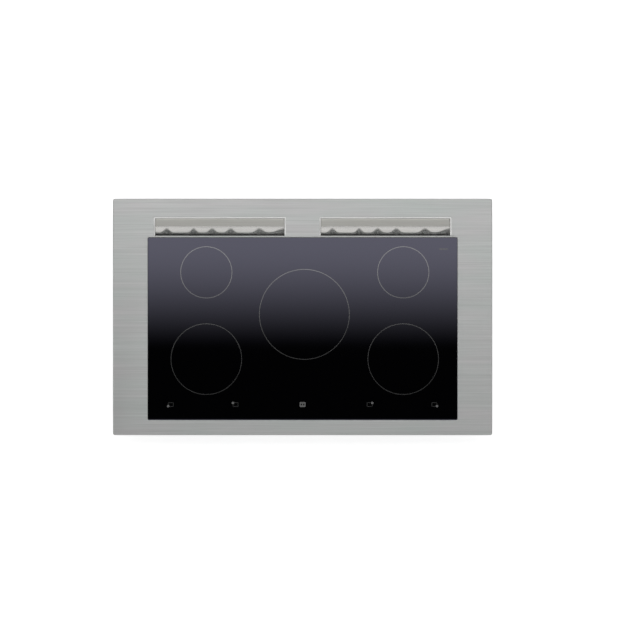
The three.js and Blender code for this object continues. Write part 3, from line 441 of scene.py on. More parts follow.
def pill(outline, low, high):
    """Vertices and faces of a flat closed plate with the given outline."""
    count = len(outline)
    vertices = [(x, y, z) for z in (low, high) for x, y in outline]
    faces = [tuple(range(count, 2 * count)), tuple(reversed(range(count)))]
    faces += [(i, (i + 1) % count, count + (i + 1) % count, count + i) for i in range(count)]
    return vertices, faces


# ---- Printing on the glass -------------------------------
def printed(name, shape, look="line_print"):
    """A piece of ink on the glass."""
    piece(name, *shape, look, slot="black_glass", smooth=False)


PRINT_Z = (glass_top - PRINT_SUNK, glass_top + PRINT_HEIGHT)
DOT_LAYER = 0.02 * MM


def zone_rings():
    """The thin ring round each cooking zone."""
    for zone in ZONES:
        low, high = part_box(f"coil_winding_{zone}")
        x, y = middle(f"coil_winding_{zone}")
        radius = (high.x - low.x) / 2 + RING_OUTSIDE_COIL
        outer = circle(x, y, radius + RING_WIDTH / 2, RING_STEPS)
        inner = circle(x, y, radius - RING_WIDTH / 2, RING_STEPS)
        printed(f"zone_ring_{zone}", band(outer, inner, *PRINT_Z))


def touch_symbols():
    """A small pan-sized frame for each zone, with a dot near the corner where that zone is."""
    w, d = SYMBOL_SIZE
    for number, (x, corner) in enumerate(zip(SYMBOL_X, DOT_CORNERS), 1):
        if corner is None:
            control_plate(x)
            continue
        outer = rounded(x, SYMBOL_Y, w, d, SYMBOL_CORNER)
        inner = rounded(x, SYMBOL_Y, w - 2 * SYMBOL_LINE, d - 2 * SYMBOL_LINE, SYMBOL_CORNER - SYMBOL_LINE)
        printed(f"touch_symbol_{number}", band(outer, inner, *PRINT_Z))
        dot_x = x + corner[0] * (w / 2 - DOT_INSET[0])
        dot_y = SYMBOL_Y + corner[1] * (d / 2 - DOT_INSET[1])
        dot_z = (PRINT_Z[0], PRINT_Z[1] + DOT_LAYER)
        printed(f"touch_dot_{number}", pill(circle(dot_x, dot_y, DOT_RADIUS, 24), *dot_z), "bright_print")


def control_plate(x):
    """The main key: a filled plate with two small windows."""
    w, d = PLATE_SIZE
    bar, window_d = 2.6 * MM, 4.4 * MM
    outer = rounded(x, SYMBOL_Y, w, d, 2 * MM)
    inner = rounded(x, SYMBOL_Y, w - 2 * bar, window_d, 1 * MM)
    divider = rounded(x, SYMBOL_Y, bar, window_d + 0.4 * MM, 0.3 * MM)
    printed("touch_plate", merge(band(outer, inner, *PRINT_Z), pill(divider, *PRINT_Z)), "bright_print")


def corner_mark():
    """A plain bar where such cooktops carry a name."""
    bar = rounded(*CORNER_MARK, *CORNER_MARK_SIZE, 0.6 * MM, 3)
    printed("corner_mark", pill(bar, *PRINT_Z), "faint_print")


# ---- Vent pressings --------------------------------------
# Where the polished face is dented, from the pressing's left end, and how wide each dent is.
DENTS = ((29, 10), (97, 9), (144, 11), (191, 11), (264, 13), (328, 26))
DENT_TURN = 0.1  # where a full dent starts to fall, as a share of the face's depth
DENT_FALL = 9.5 * MM  # and how far it falls
DENT_POWER = 1.15  # 1 is a straight slope, 2 a quarter circle


def vent_profile(pushed, steps=28):
    """Points (y, z) from the back of the ledge, round the bend and down the face, at a dent pushed 0 to 1."""
    back, bend = Vector(VENT_BACK), Vector(VENT_BEND)
    points = [back.lerp(bend, share) for share in LEDGE_SHARES]
    turn_at = VENT_TURN + (DENT_TURN - VENT_TURN) * pushed
    round_fall = VENT_FACE_ROUND + (DENT_FALL - VENT_FACE_ROUND) * pushed
    power = 2 + (DENT_POWER - 2) * pushed
    for i in range(steps + 1):
        share = math.sin(math.pi / 2 * i / steps)
        turn = max(0.0, (share - turn_at) / (1 - turn_at))
        fall = VENT_FACE_SLOPE * (VENT_FIRST * share + (1 - VENT_FIRST) * share**2)
        fall += round_fall * (1 - (1 - turn**power) ** (1 / power))
        points.append(bend - Vector((VENT_FACE_D * share, fall)))
    points.append(Vector(VENT_FOOT))
    return points


def dent(x):
    """How far the face is pushed in at x along the pressing, from 0 to 1."""
    along = (x + VENT_HALF_W) / MM
    return min(1.0, sum(math.exp(-(((along - centre) / width) ** 2)) for centre, width in DENTS))


def vent_tray(centre):
    """The ledge and the face, as a sheet of profiles side by side along the vent."""
    vertices, faces = [], []
    for i in range(VENT_COLUMNS + 1):
        x = VENT_HALF_W * (2 * i / VENT_COLUMNS - 1)
        profile = vent_profile(dent(x))
        vertices += [(centre + x, y, z) for y, z in profile]
    rows = len(profile)
    for i in range(VENT_COLUMNS):
        for j in range(rows - 1):
            first = i * rows + j
            faces.append((first + rows, first + rows + 1, first + 1, first))
    return vertices, faces


def vent_pressing(side):
    """A vent's tray: a wavy polished face in front of a matt ledge, inside a rim coloured lighter as a
    painted highlight.
    """
    centre, _ = middle(f"vent_insert_{side}")
    tray = vent_tray(centre)
    made = piece(f"vent_pressing_{side}", *merge(tray, vent_sides(centre)), "polished_steel")
    made.data.materials.append(LOOKS["brushed_ledge"])
    made.data.materials.append(LOOKS["painted_highlight_rim"])
    tray_faces = len(tray[1])
    ledge_y = VENT_BEND[0] + 0.4 * MM
    for face in made.data.polygons:
        if face.index >= tray_faces:
            # the rim and end cheeks get the painted highlight colour
            face.material_index = 2
        elif face.center.y > ledge_y:
            face.material_index = 1
    modifier(made, "WELD", merge_threshold=0.01 * MM)
    modifier(made, "SOLIDIFY", thickness=VENT_SHEET, offset=-1)
    modifier(made, "WEIGHTED_NORMAL")
    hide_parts(f"vent_insert_{side}")


def vent_sides(centre):
    """The rim round three sides, a flat lip and a slope, and the upright cheeks at both ends."""
    half = VENT_HALF_W
    back_y, inner_z = VENT_BACK
    foot_z = VENT_FOOT[1]
    across = [(VENT_SLOPE_W + VENT_LIP_W, VENT_RIM_Z), (VENT_SLOPE_W, VENT_RIM_Z), (0, inner_z)]
    vertices = []
    for sign, at_front in ((-1, True), (-1, False), (1, False), (1, True)):
        for out, z in across:
            y = VENT_FRONT_Y if at_front else back_y + out
            vertices.append((centre + sign * (half + out), y, z))
    count = len(across)
    faces = []
    for first in range(3 * count):
        if first % count < count - 1:
            faces.append((first, first + 1, first + 1 + count, first + count))
    for sign, front, back in ((-1, 2, 5), (1, 11, 8)):
        start = len(vertices)
        vertices.append((centre + sign * half, VENT_FRONT_Y, foot_z))
        vertices.append((centre + sign * half, back_y, foot_z))
        cheek = (front, start, start + 1, back)
        faces.append(cheek if sign < 0 else tuple(reversed(cheek)))
    return vertices, faces


# ---- Shapes for fittings ---------------------------------
def turned(profile, steps=24):
    """Vertices and faces of a profile of (radius, height) turned about Z; a zero radius closes an end."""
    vertices, rings, faces = [], [], []
    for radius, height in profile:
        count = steps if radius else 1
        rings.append(range(len(vertices), len(vertices) + count))
        for i in range(count):
            vertices.append((*around(0, 0, radius, 2 * math.pi * i / steps), height))
    for low, high in zip(rings, rings[1:]):
        for i in range(steps):
            j = (i + 1) % steps
            corners = (low[i % len(low)], low[j % len(low)], high[j % len(high)], high[i % len(high)])
            faces.append(tuple(dict.fromkeys(corners)))
    return vertices, faces


def swept(path, radius, sides=8, closed=False):
    """A round wire along a path of points, with capped ends unless it is closed."""
    points = [Vector(point) for point in path]
    count = len(points)
    vertices, faces = [], []
    side = None
    for i, point in enumerate(points):
        before = points[i - 1] if i or closed else point
        after = points[(i + 1) % count] if i < count - 1 or closed else point
        ahead = (after - before).normalized()
        if side is None:
            side = ahead.orthogonal().normalized()
        side = (side - ahead * side.dot(ahead)).normalized()
        up = ahead.cross(side)
        for j in range(sides):
            angle = 2 * math.pi * j / sides
            vertices.append(tuple(point + radius * (math.cos(angle) * side + math.sin(angle) * up)))
    for i in range(count if closed else count - 1):
        here, there = i * sides, ((i + 1) % count) * sides
        for j in range(sides):
            k = (j + 1) % sides
            faces.append((here + j, here + k, there + k, there + j))
    if not closed:
        faces.append(tuple(reversed(range(sides))))
        faces.append(tuple(range((count - 1) * sides, count * sides)))
    return vertices, faces


def moved(part, place=(0, 0, 0), turn=None):
    """A copy of a vertex and face list, turned by a matrix and then moved."""
    vertices, faces = part
    turn = turn or Matrix.Identity(3)
    return [tuple(turn @ Vector(v) + Vector(place)) for v in vertices], faces


def spun(part, count):
    """Copies of a part at equal turns about Z."""
    return [moved(part, turn=Matrix.Rotation(2 * math.pi * i / count, 3, "Z")) for i in range(count)]


def facing(direction):
    """The turn that takes +Z to a direction and keeps +Y, or +Z, upright."""
    return Vector(direction).to_track_quat("Z", "Y").to_matrix()


FRONT, BACK = facing((0, -1, 0)), facing((0, 1, 0))
LEFT, RIGHT = facing((-1, 0, 0)), facing((1, 0, 0))

HEX_SCREW = (
    [(0, 0), (4.2, 0), (4.2, 0.5), (3.9, 0.8), (2.6, 0.9)],
    [(2.9, 0.7), (2.9, 2.2), (2.5, 2.7), (1.7, 2.7), (1.3, 2.3), (0, 2.2)],
)
RIVET = [(0, 0), (2.6, 0), (2.6, 0.3), (2.2, 0.8), (1.4, 1.2), (0.9, 1.25), (0.8, 0.9), (0, 0.8)]
WELD = [(0, 0), (2.4, 0), (2.1, 0.18), (1.3, 0.26), (0.8, 0.2), (0, 0.18)]


def sized(profile):
    """A profile that is given in millimetres, in metres."""
    return [(radius * MM, height * MM) for radius, height in profile]


def hex_screw():
    """A hexagon head on its flange."""
    washer, head = HEX_SCREW
    return merge(turned(sized(washer)), turned(sized(head), 6))


def all_at(shape, places):
    """The same part at several (place, turn) pairs, as one list."""
    return merge(*(moved(shape, place, turn) for place, turn in places))


SOFTEN_ANGLE = math.radians(28)  # edges sharper than this are rounded


def crisp(made, width=0.15 * MM):
    """Rounds a piece's sharp edges and keeps its flats flat."""
    modifier(made, "BEVEL", width=width, segments=2, limit_method="ANGLE", angle_limit=SOFTEN_ANGLE)
    modifier(made, "WEIGHTED_NORMAL", keep_sharp=True)
    return made


# ---- Outside of the case ---------------------------------
FLANGE = 9 * MM
tray_low, tray_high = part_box("bottom_tray")
wall_left, wall_right = tray_low.x + FLANGE, tray_high.x - FLANGE
wall_front, wall_back = tray_low.y + FLANGE, tray_high.y - FLANGE
SCREW_Z = 53 * MM
SCREW_REACH = 360 * MM  # the outer screws of a long wall, either side of the middle
SIDE_SCREW_Y = (-240 * MM, 10 * MM, 235 * MM)
BEAD_Z = 57 * MM
BEAD_R = 1.3 * MM
LAP_W = 18 * MM
LAP_D = 48 * MM
LAP_T = 0.8 * MM
LAP_MIDDLE_Z = 30 * MM
LAP_EDGE = 6 * MM  # from the wall's end to a lap, and from a lap's end to its first weld
SLOT_W = 3.2 * MM
SLOT_Z = (14 * MM, 36 * MM)
SLOT_PITCH = 14 * MM
LIP_W = 1.1 * MM
LIP_H = 0.5 * MM


def spaced(low, high, count):
    """Evenly spaced values from low to high."""
    return [low + (high - low) * i / (count - 1) for i in range(count)]


def case_screws():
    """Self-tapping screws that hold the inner parts' brackets to the case walls."""
    row = spaced(-SCREW_REACH, SCREW_REACH, 7)
    places = [((x, wall_front, SCREW_Z), FRONT) for x in row]
    places += [((x, wall_back, SCREW_Z), BACK) for x in row]
    for y in SIDE_SCREW_Y:
        places += [((wall_left, y, SCREW_Z), LEFT), ((wall_right, y, SCREW_Z), RIGHT)]
    crisp(piece("case_screws", *all_at(hex_screw(), places), "zinc_plated_steel"))


def corner_laps():
    """Each corner of the folded tray closes with a tab, spot-welded to the wall beside it."""
    tab = pill(rounded(0, 0, LAP_W, LAP_D, 2 * MM, 4), 0, LAP_T)
    rise = LAP_D / 2 - LAP_EDGE
    tabs, welds = [], []
    for side in (-1, 1):
        x = side * (wall_right - LAP_EDGE - LAP_W / 2)
        for wall, turn, out in ((wall_front, FRONT, -1), (wall_back, BACK, 1)):
            tabs.append(((x, wall, LAP_MIDDLE_Z), turn))
            face = wall + out * LAP_T
            welds += [((x, face, LAP_MIDDLE_Z + z), turn) for z in spaced(-rise, rise, 4)]
    crisp(piece("corner_laps", *all_at(tab, tabs), "galvanised_steel"))
    piece("corner_welds", *all_at(turned(sized(WELD)), welds), "galvanised_steel")


def wall_beads():
    """Half-round stiffening beads pressed out of the walls, just under the worktop's level."""
    gap = 26 * MM
    runs = [((wall_left + gap, y), (wall_right - gap, y)) for y in (wall_front, wall_back)]
    runs += [((x, wall_front + gap), (x, wall_back - gap)) for x in (wall_left, wall_right)]
    parts = []
    for start, end in runs:
        start, end = Vector((*start, BEAD_Z)), Vector((*end, BEAD_Z))
        inward = (start - end).normalized() * BEAD_R
        path = [start, start - inward, end + inward, end]
        parts.append(swept(path, BEAD_R, 12))
    piece("wall_beads", *merge(*parts), "galvanised_steel")


def slot_lips():
    """The pressed lip round each cooling slot."""
    left, right = middle("fan_rotor_left")[0], middle("fan_rotor_right")[0]
    rows = (
        ("front_left", left, 6, FRONT, wall_front),
        ("front_right", right, 6, FRONT, wall_front),
        ("back", right, 8, BACK, wall_back),
    )
    depth = SLOT_Z[1] - SLOT_Z[0]
    inner = rounded(0, 0, SLOT_W, depth, 0.4 * MM, 3)
    outer = rounded(0, 0, SLOT_W + 2 * LIP_W, depth + 2 * LIP_W, 1.4 * MM, 3)
    lip = band(outer, inner, -0.1 * MM, LIP_H)
    for name, centre, count, turn, wall in rows:
        reach = (count - 1) / 2 * SLOT_PITCH
        places = [((x, wall, sum(SLOT_Z) / 2), turn) for x in spaced(centre - reach, centre + reach, count)]
        crisp(piece(f"slot_lips_{name}", *all_at(lip, places), "galvanised_steel"), 0.2 * MM)


EARTH_FROM_GLAND = 34 * MM


def earth_screw():
    """The earth stud beside the cable gland: a screw, a clamp washer and a raised pad."""
    low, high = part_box("cable_gland")
    place = (high.x + EARTH_FROM_GLAND, wall_back, (low.z + high.z) / 2)
    pad = turned(sized([(0, 0), (9, 0), (8.4, 0.6), (0, 0.6)]), 32)
    washer = turned(sized([(0, 0.5), (6, 0.5), (6, 1.3), (5.6, 1.5), (0, 1.5)]), 32)
    stud = moved(hex_screw(), (0, 0, 1.4 * MM))
    piece("earth_pad", *moved(pad, place, BACK), "galvanised_steel")
    crisp(piece("earth_screw", *moved(merge(washer, stud), place, BACK), "zinc_plated_steel"))


def blank_plate():
    """A blank aluminium plate, riveted on where such cooktops carry their rating."""
    w, d, t = 86 * MM, 30 * MM, 0.5 * MM
    x, z = -30 * MM, 26 * MM
    sheet = pill(rounded(0, 0, w, d, 3 * MM, 5), 0, t)
    outer = rounded(0, 0, w - 8 * MM, d - 8 * MM, 2 * MM, 4)
    inner = rounded(0, 0, w - 9.4 * MM, d - 9.4 * MM, 1.3 * MM, 4)
    border = band(outer, inner, 0, t + 0.15 * MM)
    crisp(piece("blank_plate", *moved(merge(sheet, border), (x, wall_back, z), BACK), "aluminium"))
    rivet = turned([(0.6 * radius, 0.6 * height + t) for radius, height in sized(RIVET)])
    inset_w, inset_d = w / 2 - 3 * MM, d / 2 - 3 * MM
    corners = [((x + sx * inset_w, wall_back, z + sz * inset_d), BACK) for sx in (-1, 1) for sz in (-1, 1)]
    piece("blank_plate_rivets", *all_at(rivet, corners), "aluminium")


def terminal_lid_ribs():
    """A border and stiffening ribs on the terminal lid, which swing with it."""
    low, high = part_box("terminal_lid")
    leaf = high.y - 1.5 * MM
    x0, x1 = low.x + 18 * MM, high.x - 10 * MM
    width, depth = x1 - x0, high.z - low.z - 10 * MM
    sunk = -0.2 * MM
    outer = rounded(0, 0, width, depth, 3 * MM)
    inner = rounded(0, 0, width - 2.4 * MM, depth - 2.4 * MM, 1.8 * MM)
    parts = [band(outer, inner, sunk, 1 * MM)]
    for x in spaced(-width / 2 + 12 * MM, width / 2 - 12 * MM, 6):
        parts.append(pill(rounded(x, 0, 1.4 * MM, depth - 9 * MM, 0.5 * MM, 3), sunk, 0.9 * MM))
    place = ((x0 + x1) / 2, leaf, (low.z + high.z) / 2)
    crisp(piece("terminal_lid_ribs", *moved(merge(*parts), place, BACK), "dark_plastic", "terminal_lid"))


GLAND_BODY = ((4.6, -6), (8.7, -6), (8.7, 0.3), (12, 0.3), (12, 1.4), (11.2, 2), (9.4, 2), (9.4, 2.4))
GLAND_BODY += ((4.6, 2.4), (4.6, -6))
GLAND_NUT = ((4.6, 2.6), (9.6, 2.6), (9.9, 3), (9.9, 6), (9, 7.6), (7.4, 9.6), (6.4, 10.6), (5.6, 10.8))
GLAND_NUT += ((4.9, 10.2), (4.6, 2.6))
GLAND_RING = ((2.8, 3), (4.7, 3), (4.7, 9.6), (4.1, 10), (3.2, 9.4), (2.8, 8), (2.8, 3))
NUT_RIBS = 20


def cable_gland():
    """The cable gland: a flange, a ribbed dome nut and the rubber ring that grips a cable."""
    low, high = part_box("cable_gland")
    centre = ((low.x + high.x) / 2, wall_back, (low.z + high.z) / 2)
    grip = pill(rounded(9.9 * MM, 0, 1.2 * MM, 1.6 * MM, 0.4 * MM, 2), 2.8 * MM, 6.2 * MM)
    shell = merge(turned(sized(GLAND_BODY), 48), turned(sized(GLAND_NUT), 48), *spun(grip, NUT_RIBS))
    body = crisp(piece("cable_gland_body", *moved(shell, centre, BACK), "dark_plastic"))
    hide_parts("cable_gland")
    piece("cable_gland_ring", *moved(turned(sized(GLAND_RING), 32), centre, BACK), "silicone")


# ---- Worktop clamps --------------------------------------
CLAMPS = ("front_right", "rear_right", "front_left", "rear_left")
THREAD_PITCH = 1.25 * MM
THREAD_R = 2.4 * MM
THREAD_WIRE = 0.25 * MM
THREAD_Z = (21.5 * MM, 53.4 * MM)
BRACKET_T = 1.5 * MM
RIVET_OUT = 12 * MM  # the bracket's rivets, either side of its middle
RIVET_Z = (13 * MM, 45 * MM)
PAD_SIZE = (10.8 * MM, 3.9 * MM)
PAD_IN = 1.6 * MM  # the pad's middle, in from the arm's tip
PAD_Z = (-0.9 * MM, 0.5 * MM)  # against the top of the arm


def clamp_threads(where):
    """The screw's thread above its collar."""
    body = f"clamp_screw_{where}"
    x, y = middle(body)
    rise = THREAD_Z[1] - THREAD_Z[0]
    turns = rise / THREAD_PITCH
    steps = int(turns * 14)
    path = []
    for i in range(steps + 1):
        angle = 2 * math.pi * turns * i / steps
        path.append((*around(x, y, THREAD_R, angle), THREAD_Z[0] + rise * i / steps))
    piece(f"clamp_thread_{where}", *swept(path, THREAD_WIRE, 5), "zinc_plated_steel", body)


def clamp_fittings(where):
    """Rivets through the bracket's back plate, and the rubber cap on the claw that bites the worktop."""
    low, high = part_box(f"clamp_bracket_{where}")
    side = 1 if low.x > 0 else -1
    plate_x = (low.x if side > 0 else high.x) + side * BRACKET_T
    y, turn = (low.y + high.y) / 2, RIGHT if side > 0 else LEFT
    rows = spaced(*RIVET_Z, 3)
    places = [((plate_x, y + sy * RIVET_OUT, z), turn) for sy in (-1, 1) for z in rows]
    piece(f"clamp_rivets_{where}", *all_at(turned(sized(RIVET)), places), "zinc_plated_steel")
    arm_low, arm_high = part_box(f"clamp_arm_{where}")
    outward = 1 if arm_high.y - y > y - arm_low.y else -1
    tip_y = arm_high.y if outward > 0 else arm_low.y
    x = (arm_low.x + arm_high.x) / 2
    outline = rounded(x, tip_y - outward * PAD_IN, *PAD_SIZE, 0.8 * MM, 4)
    cap = pill(outline, arm_high.z + PAD_Z[0], arm_high.z + PAD_Z[1])
    crisp(piece(f"clamp_pad_{where}", *cap, "silicone", f"clamp_arm_{where}"), 0.3 * MM)


# ---- Coils -----------------------------------------------
LITZ_R = 1.45 * MM
LITZ_PITCH = 3.15 * MM
COIL_BORE_R = 18 * MM
FORMER_FLOOR = 1.5 * MM
# The sensor's outline as (radius, height): the boot's foot above the former's floor, the rest below its top.
BOOT_FOOT = ((0, 0), (14, 0), (14, 1), (6.5, 1.6), (5, 3))
BOOT_NECK = ((5, -2.4), (0, -2.4))
BUTTON = ((0, -2.6), (4.2, -2.6), (4.2, -0.4), (3.8, 0), (0, 0))
SENSOR_OVER_COIL = 1 * MM


def litz_winding(zone):
    """A flat spiral of litz wire, in place of the plain ring."""
    low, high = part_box(f"coil_winding_{zone}")
    x, y = middle(f"coil_winding_{zone}")
    z = (low.z + high.z) / 2
    outer = (high.x - low.x) / 2 - LITZ_R
    inner = COIL_BORE_R + LITZ_R
    turns = (outer - inner) / LITZ_PITCH
    steps = int(turns * 44)
    path = []
    for i in range(steps + 1):
        share = i / steps
        radius = inner + (outer - inner) * share
        path.append((*around(x, y, radius, 2 * math.pi * turns * share), z))
    made = piece(f"litz_winding_{zone}", *swept(path, LITZ_R, 7), "copper", f"coil_{zone}")
    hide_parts(f"coil_winding_{zone}")


def coil_sensor(zone):
    """The temperature sensor in the middle of a coil: a ceramic button on a rubber boot."""
    place = (*middle(f"coil_winding_{zone}"), 0)
    floor_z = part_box(f"coil_former_{zone}")[0].z + FORMER_FLOOR
    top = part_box(f"coil_winding_{zone}")[1].z + SENSOR_OVER_COIL
    boot = [(radius, floor_z + height) for radius, height in sized(BOOT_FOOT)]
    boot += [(radius, top + height) for radius, height in sized(BOOT_NECK)]
    button = [(radius, top + height) for radius, height in sized(BUTTON)]
    piece(f"sensor_boot_{zone}", *moved(turned(boot, 32), place), "silicone", f"coil_{zone}")
    piece(f"sensor_button_{zone}", *moved(turned(button, 32), place), "mica", f"coil_{zone}")


SEAT_GAP = 0.05 * MM
SPRING_T = 0.8 * MM
SPRING_RING = (7 * MM, 15 * MM)
SPRING_LEG = (13 * MM, 52 * MM)  # from the ring to the curled toe
SPRING_BEND = (19 * MM, 43 * MM)  # where a leg leaves the ring's level and reaches the carrier's
SPRING_HALF_W = (6 * MM, 4 * MM)  # at the ring and at the toe
TOE_FROM = 0.9  # the share of a leg's length where its toe starts to curl up
TOE_LIFT = 1.2 * MM


def spring_leg(low, high, columns=4, rows=26):
    """One leg's upper face: an S-bend from the ring down to the carrier, narrowing to a curled toe."""
    vertices, faces = [], []
    for i in range(rows + 1):
        share = i / rows
        reach = SPRING_LEG[0] + (SPRING_LEG[1] - SPRING_LEG[0]) * share
        bend = min(1.0, max(0.0, (reach - SPRING_BEND[0]) / (SPRING_BEND[1] - SPRING_BEND[0])))
        toe = max(0.0, share - TOE_FROM) / (1 - TOE_FROM)
        z = high - (high - low) * bend * bend * (3 - 2 * bend) + TOE_LIFT * toe * toe
        half = SPRING_HALF_W[0] + (SPRING_HALF_W[1] - SPRING_HALF_W[0]) * share
        vertices += [(reach, half * (2 * j / columns - 1), z) for j in range(columns + 1)]
    for i in range(rows):
        for j in range(columns):
            first = i * (columns + 1) + j
            faces.append((first, first + columns + 1, first + columns + 2, first + 1))
    return vertices, faces


def coil_spring(zone):
    """The three-legged leaf spring, which rides on the coil's body."""
    low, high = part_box(f"coil_spring_{zone}")
    x, y = middle(f"coil_winding_{zone}")
    rise = high.z - low.z - SPRING_T - SEAT_GAP
    legs = merge(*spun(spring_leg(high.z - rise, high.z), 3))
    ring = band(circle(0, 0, SPRING_RING[1]), circle(0, 0, SPRING_RING[0]), high.z - SPRING_T, high.z)
    made = piece(f"leaf_spring_{zone}", *moved(legs, (x, y, 0)), "spring_steel", f"coil_{zone}")
    modifier(made, "SOLIDIFY", thickness=SPRING_T, offset=-1)
    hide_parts(f"coil_spring_{zone}")
    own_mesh(made)
    crisp(piece(f"spring_ring_{zone}", *moved(ring, (x, y, 0)), "spring_steel", f"coil_{zone}"))


# ---- Fans ------------------------------------------------
HUB_CAP = ((3.4, 0), (3.4, -1.6), (6, -2.2), (10, -1.4), (11.6, -0.2), (11.6, 0), (3.4, 0))
GUARD_RINGS = (9 * MM, 16 * MM, 23 * MM, 30 * MM)
GUARD_WIRE = 0.6 * MM
GUARD_Z = 2.2 * MM
HUB_OVER_ROTOR = 3 * MM  # the hub's underside above the rotor's
HUB_RIBS = 8


def fan_hub(side):
    """The rotor's hub cap, seen through the intake."""
    place = (*middle(f"fan_rotor_{side}"), 0)
    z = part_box(f"fan_rotor_{side}")[0].z + HUB_OVER_ROTOR
    cap = turned([(radius, z + height) for radius, height in sized(HUB_CAP)], 40)
    rib = pill(rounded(7.8 * MM, 0, 5 * MM, 0.9 * MM, 0.4 * MM, 2), z - 2.5 * MM, z - 1 * MM)
    hub = merge(cap, *spun(rib, HUB_RIBS))
    piece(f"fan_hub_{side}", *moved(hub, place), "dark_plastic", f"fan_{side}")


def fan_guard(side):
    """Wire rings and spokes over the fan's intake, just above the case floor's slots."""
    x, y = middle(f"fan_rotor_{side}")
    rings = [[(*point, GUARD_Z) for point in circle(x, y, radius)] for radius in GUARD_RINGS]
    parts = [swept(ring, GUARD_WIRE, 8, True) for ring in rings]
    for i in range(4):
        angle = math.pi / 4 + math.pi / 2 * i
        reach = spaced(GUARD_RINGS[0], GUARD_RINGS[-1], 3)
        spoke = [(*around(x, y, radius, angle), GUARD_Z) for radius in reach]
        parts.append(swept(spoke, GUARD_WIRE, 8))
    piece(f"fan_guard_{side}", *merge(*parts), "zinc_plated_steel")


# ---- Boards ----------------------------------------------
BOARD_TOP = 11.4 * MM
BOARD_T = 1.6 * MM
BOARD_R = 3 * MM
CHOKE_LOOPS = 26
CHOKE_GAP = 3  # loops left out, between the winding's two ends
CHOKE_WIRE = 0.7 * MM


def solid_box(x, y, w, d, height, radius=1 * MM):
    """A component's moulded case, standing on a board."""
    return pill(rounded(x, y, w, d, radius, 4), BOARD_TOP - 0.3 * MM, BOARD_TOP + height)


def choke(x, y, inner, outer, height):
    """A toroidal core, and the wire wound round it."""
    low, high = BOARD_TOP + 1.2 * MM, BOARD_TOP + height - 1.2 * MM
    core = turned([(inner, low), (outer, low), (outer, high), (inner, high), (inner, low)], 40)
    corners = rounded(0, 0, outer - inner + 2 * CHOKE_WIRE, high - low + 2 * CHOKE_WIRE, 1.4 * MM, 3)
    path = [((inner + outer) / 2 + u, 0, (low + high) / 2 + v) for u, v in corners]
    loops = spun(swept(path, CHOKE_WIRE, 6, True), CHOKE_LOOPS + CHOKE_GAP)[:CHOKE_LOOPS]
    place = (x, y, 0)
    return moved(core, place), moved(merge(*loops), place)


def can(x, y, radius, height):
    """An electrolytic capacitor's can: a rolled groove near its foot and a pressed top."""
    profile = [(0, 0), (radius, 0), (radius, 0.1 * height), (radius - 0.7 * MM, 0.14 * height)]
    profile += [(radius, 0.18 * height), (radius, height - 1 * MM), (radius - 0.8 * MM, height)]
    profile += [(radius - 1.4 * MM, height - 0.4 * MM), (0, height - 0.4 * MM)]
    return moved(turned(profile, 32), (x, y, BOARD_TOP))


def board_parts(name, part, boxes, chokes, cans):
    """A board and its components, each in its own material, in place of the plain CAD board."""
    low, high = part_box(part)
    x, y = middle(part)
    board = rounded(x, y, high.x - low.x, high.y - low.y, BOARD_R, 4)
    sheet = pill(board, BOARD_TOP - BOARD_T, BOARD_TOP)
    bare = crisp(piece(f"{name}_circuit_board", *sheet, "circuit_board"))
    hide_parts(part)
    for look, places in boxes.items():
        cases = [solid_box(x + bx, by, w, d, height) for bx, by, w, d, height in places]
        crisp(piece(f"{name}_{look}_cases", *merge(*cases), look), 0.5 * MM)
    wound = [choke(x + cx, cy, inner, outer, height) for cx, cy, inner, outer, height in chokes]
    piece(f"{name}_choke_cores", *merge(*(core for core, _ in wound)), "dark_plastic", smooth=False)
    piece(f"{name}_choke_wires", *merge(*(wire for _, wire in wound)), "copper")
    if cans:
        cases = [can(x + cx, cy, radius, height) for cx, cy, radius, height in cans]
        crisp(piece(f"{name}_cans", *merge(*cases), "aluminium"))


def power_board(side):
    """A module's board: its components stand where the CAD board has its blocks."""
    capacitors = [(58 * MM, y * MM, 28 * MM, 34 * MM, 22 * MM) for y in (-33, 27, 87)]
    relays = [(-76 * MM, y * MM, 20 * MM, 26 * MM, 16 * MM) for y in (33, 73)]
    chokes = [(-70 * MM, y * MM, 7 * MM, 14.4 * MM, 14 * MM) for y in (-80, -30)]
    cans = [(-74 * MM, y * MM, 9 * MM, 25 * MM) for y in (120, 148)]
    boxes = {"grey_plastic": capacitors, "dark_plastic": relays}
    board_parts(f"power_{side}", f"power_board_{side}", boxes, chokes, cans)


def filter_board():
    """The mains filter's board, in the same way."""
    capacitors = [(x * MM, 231 * MM, 22 * MM, 34 * MM, 20 * MM) for x in (15, 45)]
    chokes = [(-40 * MM, 231 * MM, 8 * MM, 16.4 * MM, 16 * MM)]
    board_parts("filter", "filter_board", {"grey_plastic": capacitors}, chokes, [])


# ---- Stage, light and camera -----------------------------
CARD_HEIGHT = 1.6
CARD_SIZE = 4.4
CARD_STRENGTH = 1.5
CARD_DARK_FROM = 0.225  # the card is bright behind this, and fades towards
CARD_DARK_TO = -0.096
CARD_FRONT = (-0.42, -0.33)  # and is lit again, less strongly, in front of this
CARD_FRONT_SHARE = 0.5
CARD_RIM = (1.3, 2.2)  # how far from its middle it fades to the studio's own light
WORLD_STRENGTH = (1.0, 0.4)  # at the horizon, and higher up
WORLD_FADE = (0.15, 0.45)  # the height, as a direction's z, over which it falls
FLOOR_GLOW = 0.6
FLOOR_SIZE = (40, 40)
FLOOR_Z = -0.0005


def emitter(name):
    """A material that only glows, white, and its light node."""
    made = bpy.data.materials.new(name)
    made.use_nodes = True
    tree = made.node_tree
    tree.nodes.clear()
    light = tree.nodes.new("ShaderNodeEmission")
    light.inputs["Color"].default_value = (1, 1, 1, 1)
    output = tree.nodes.new("ShaderNodeOutputMaterial")
    tree.links.new(light.outputs[0], output.inputs["Surface"])
    return made, light


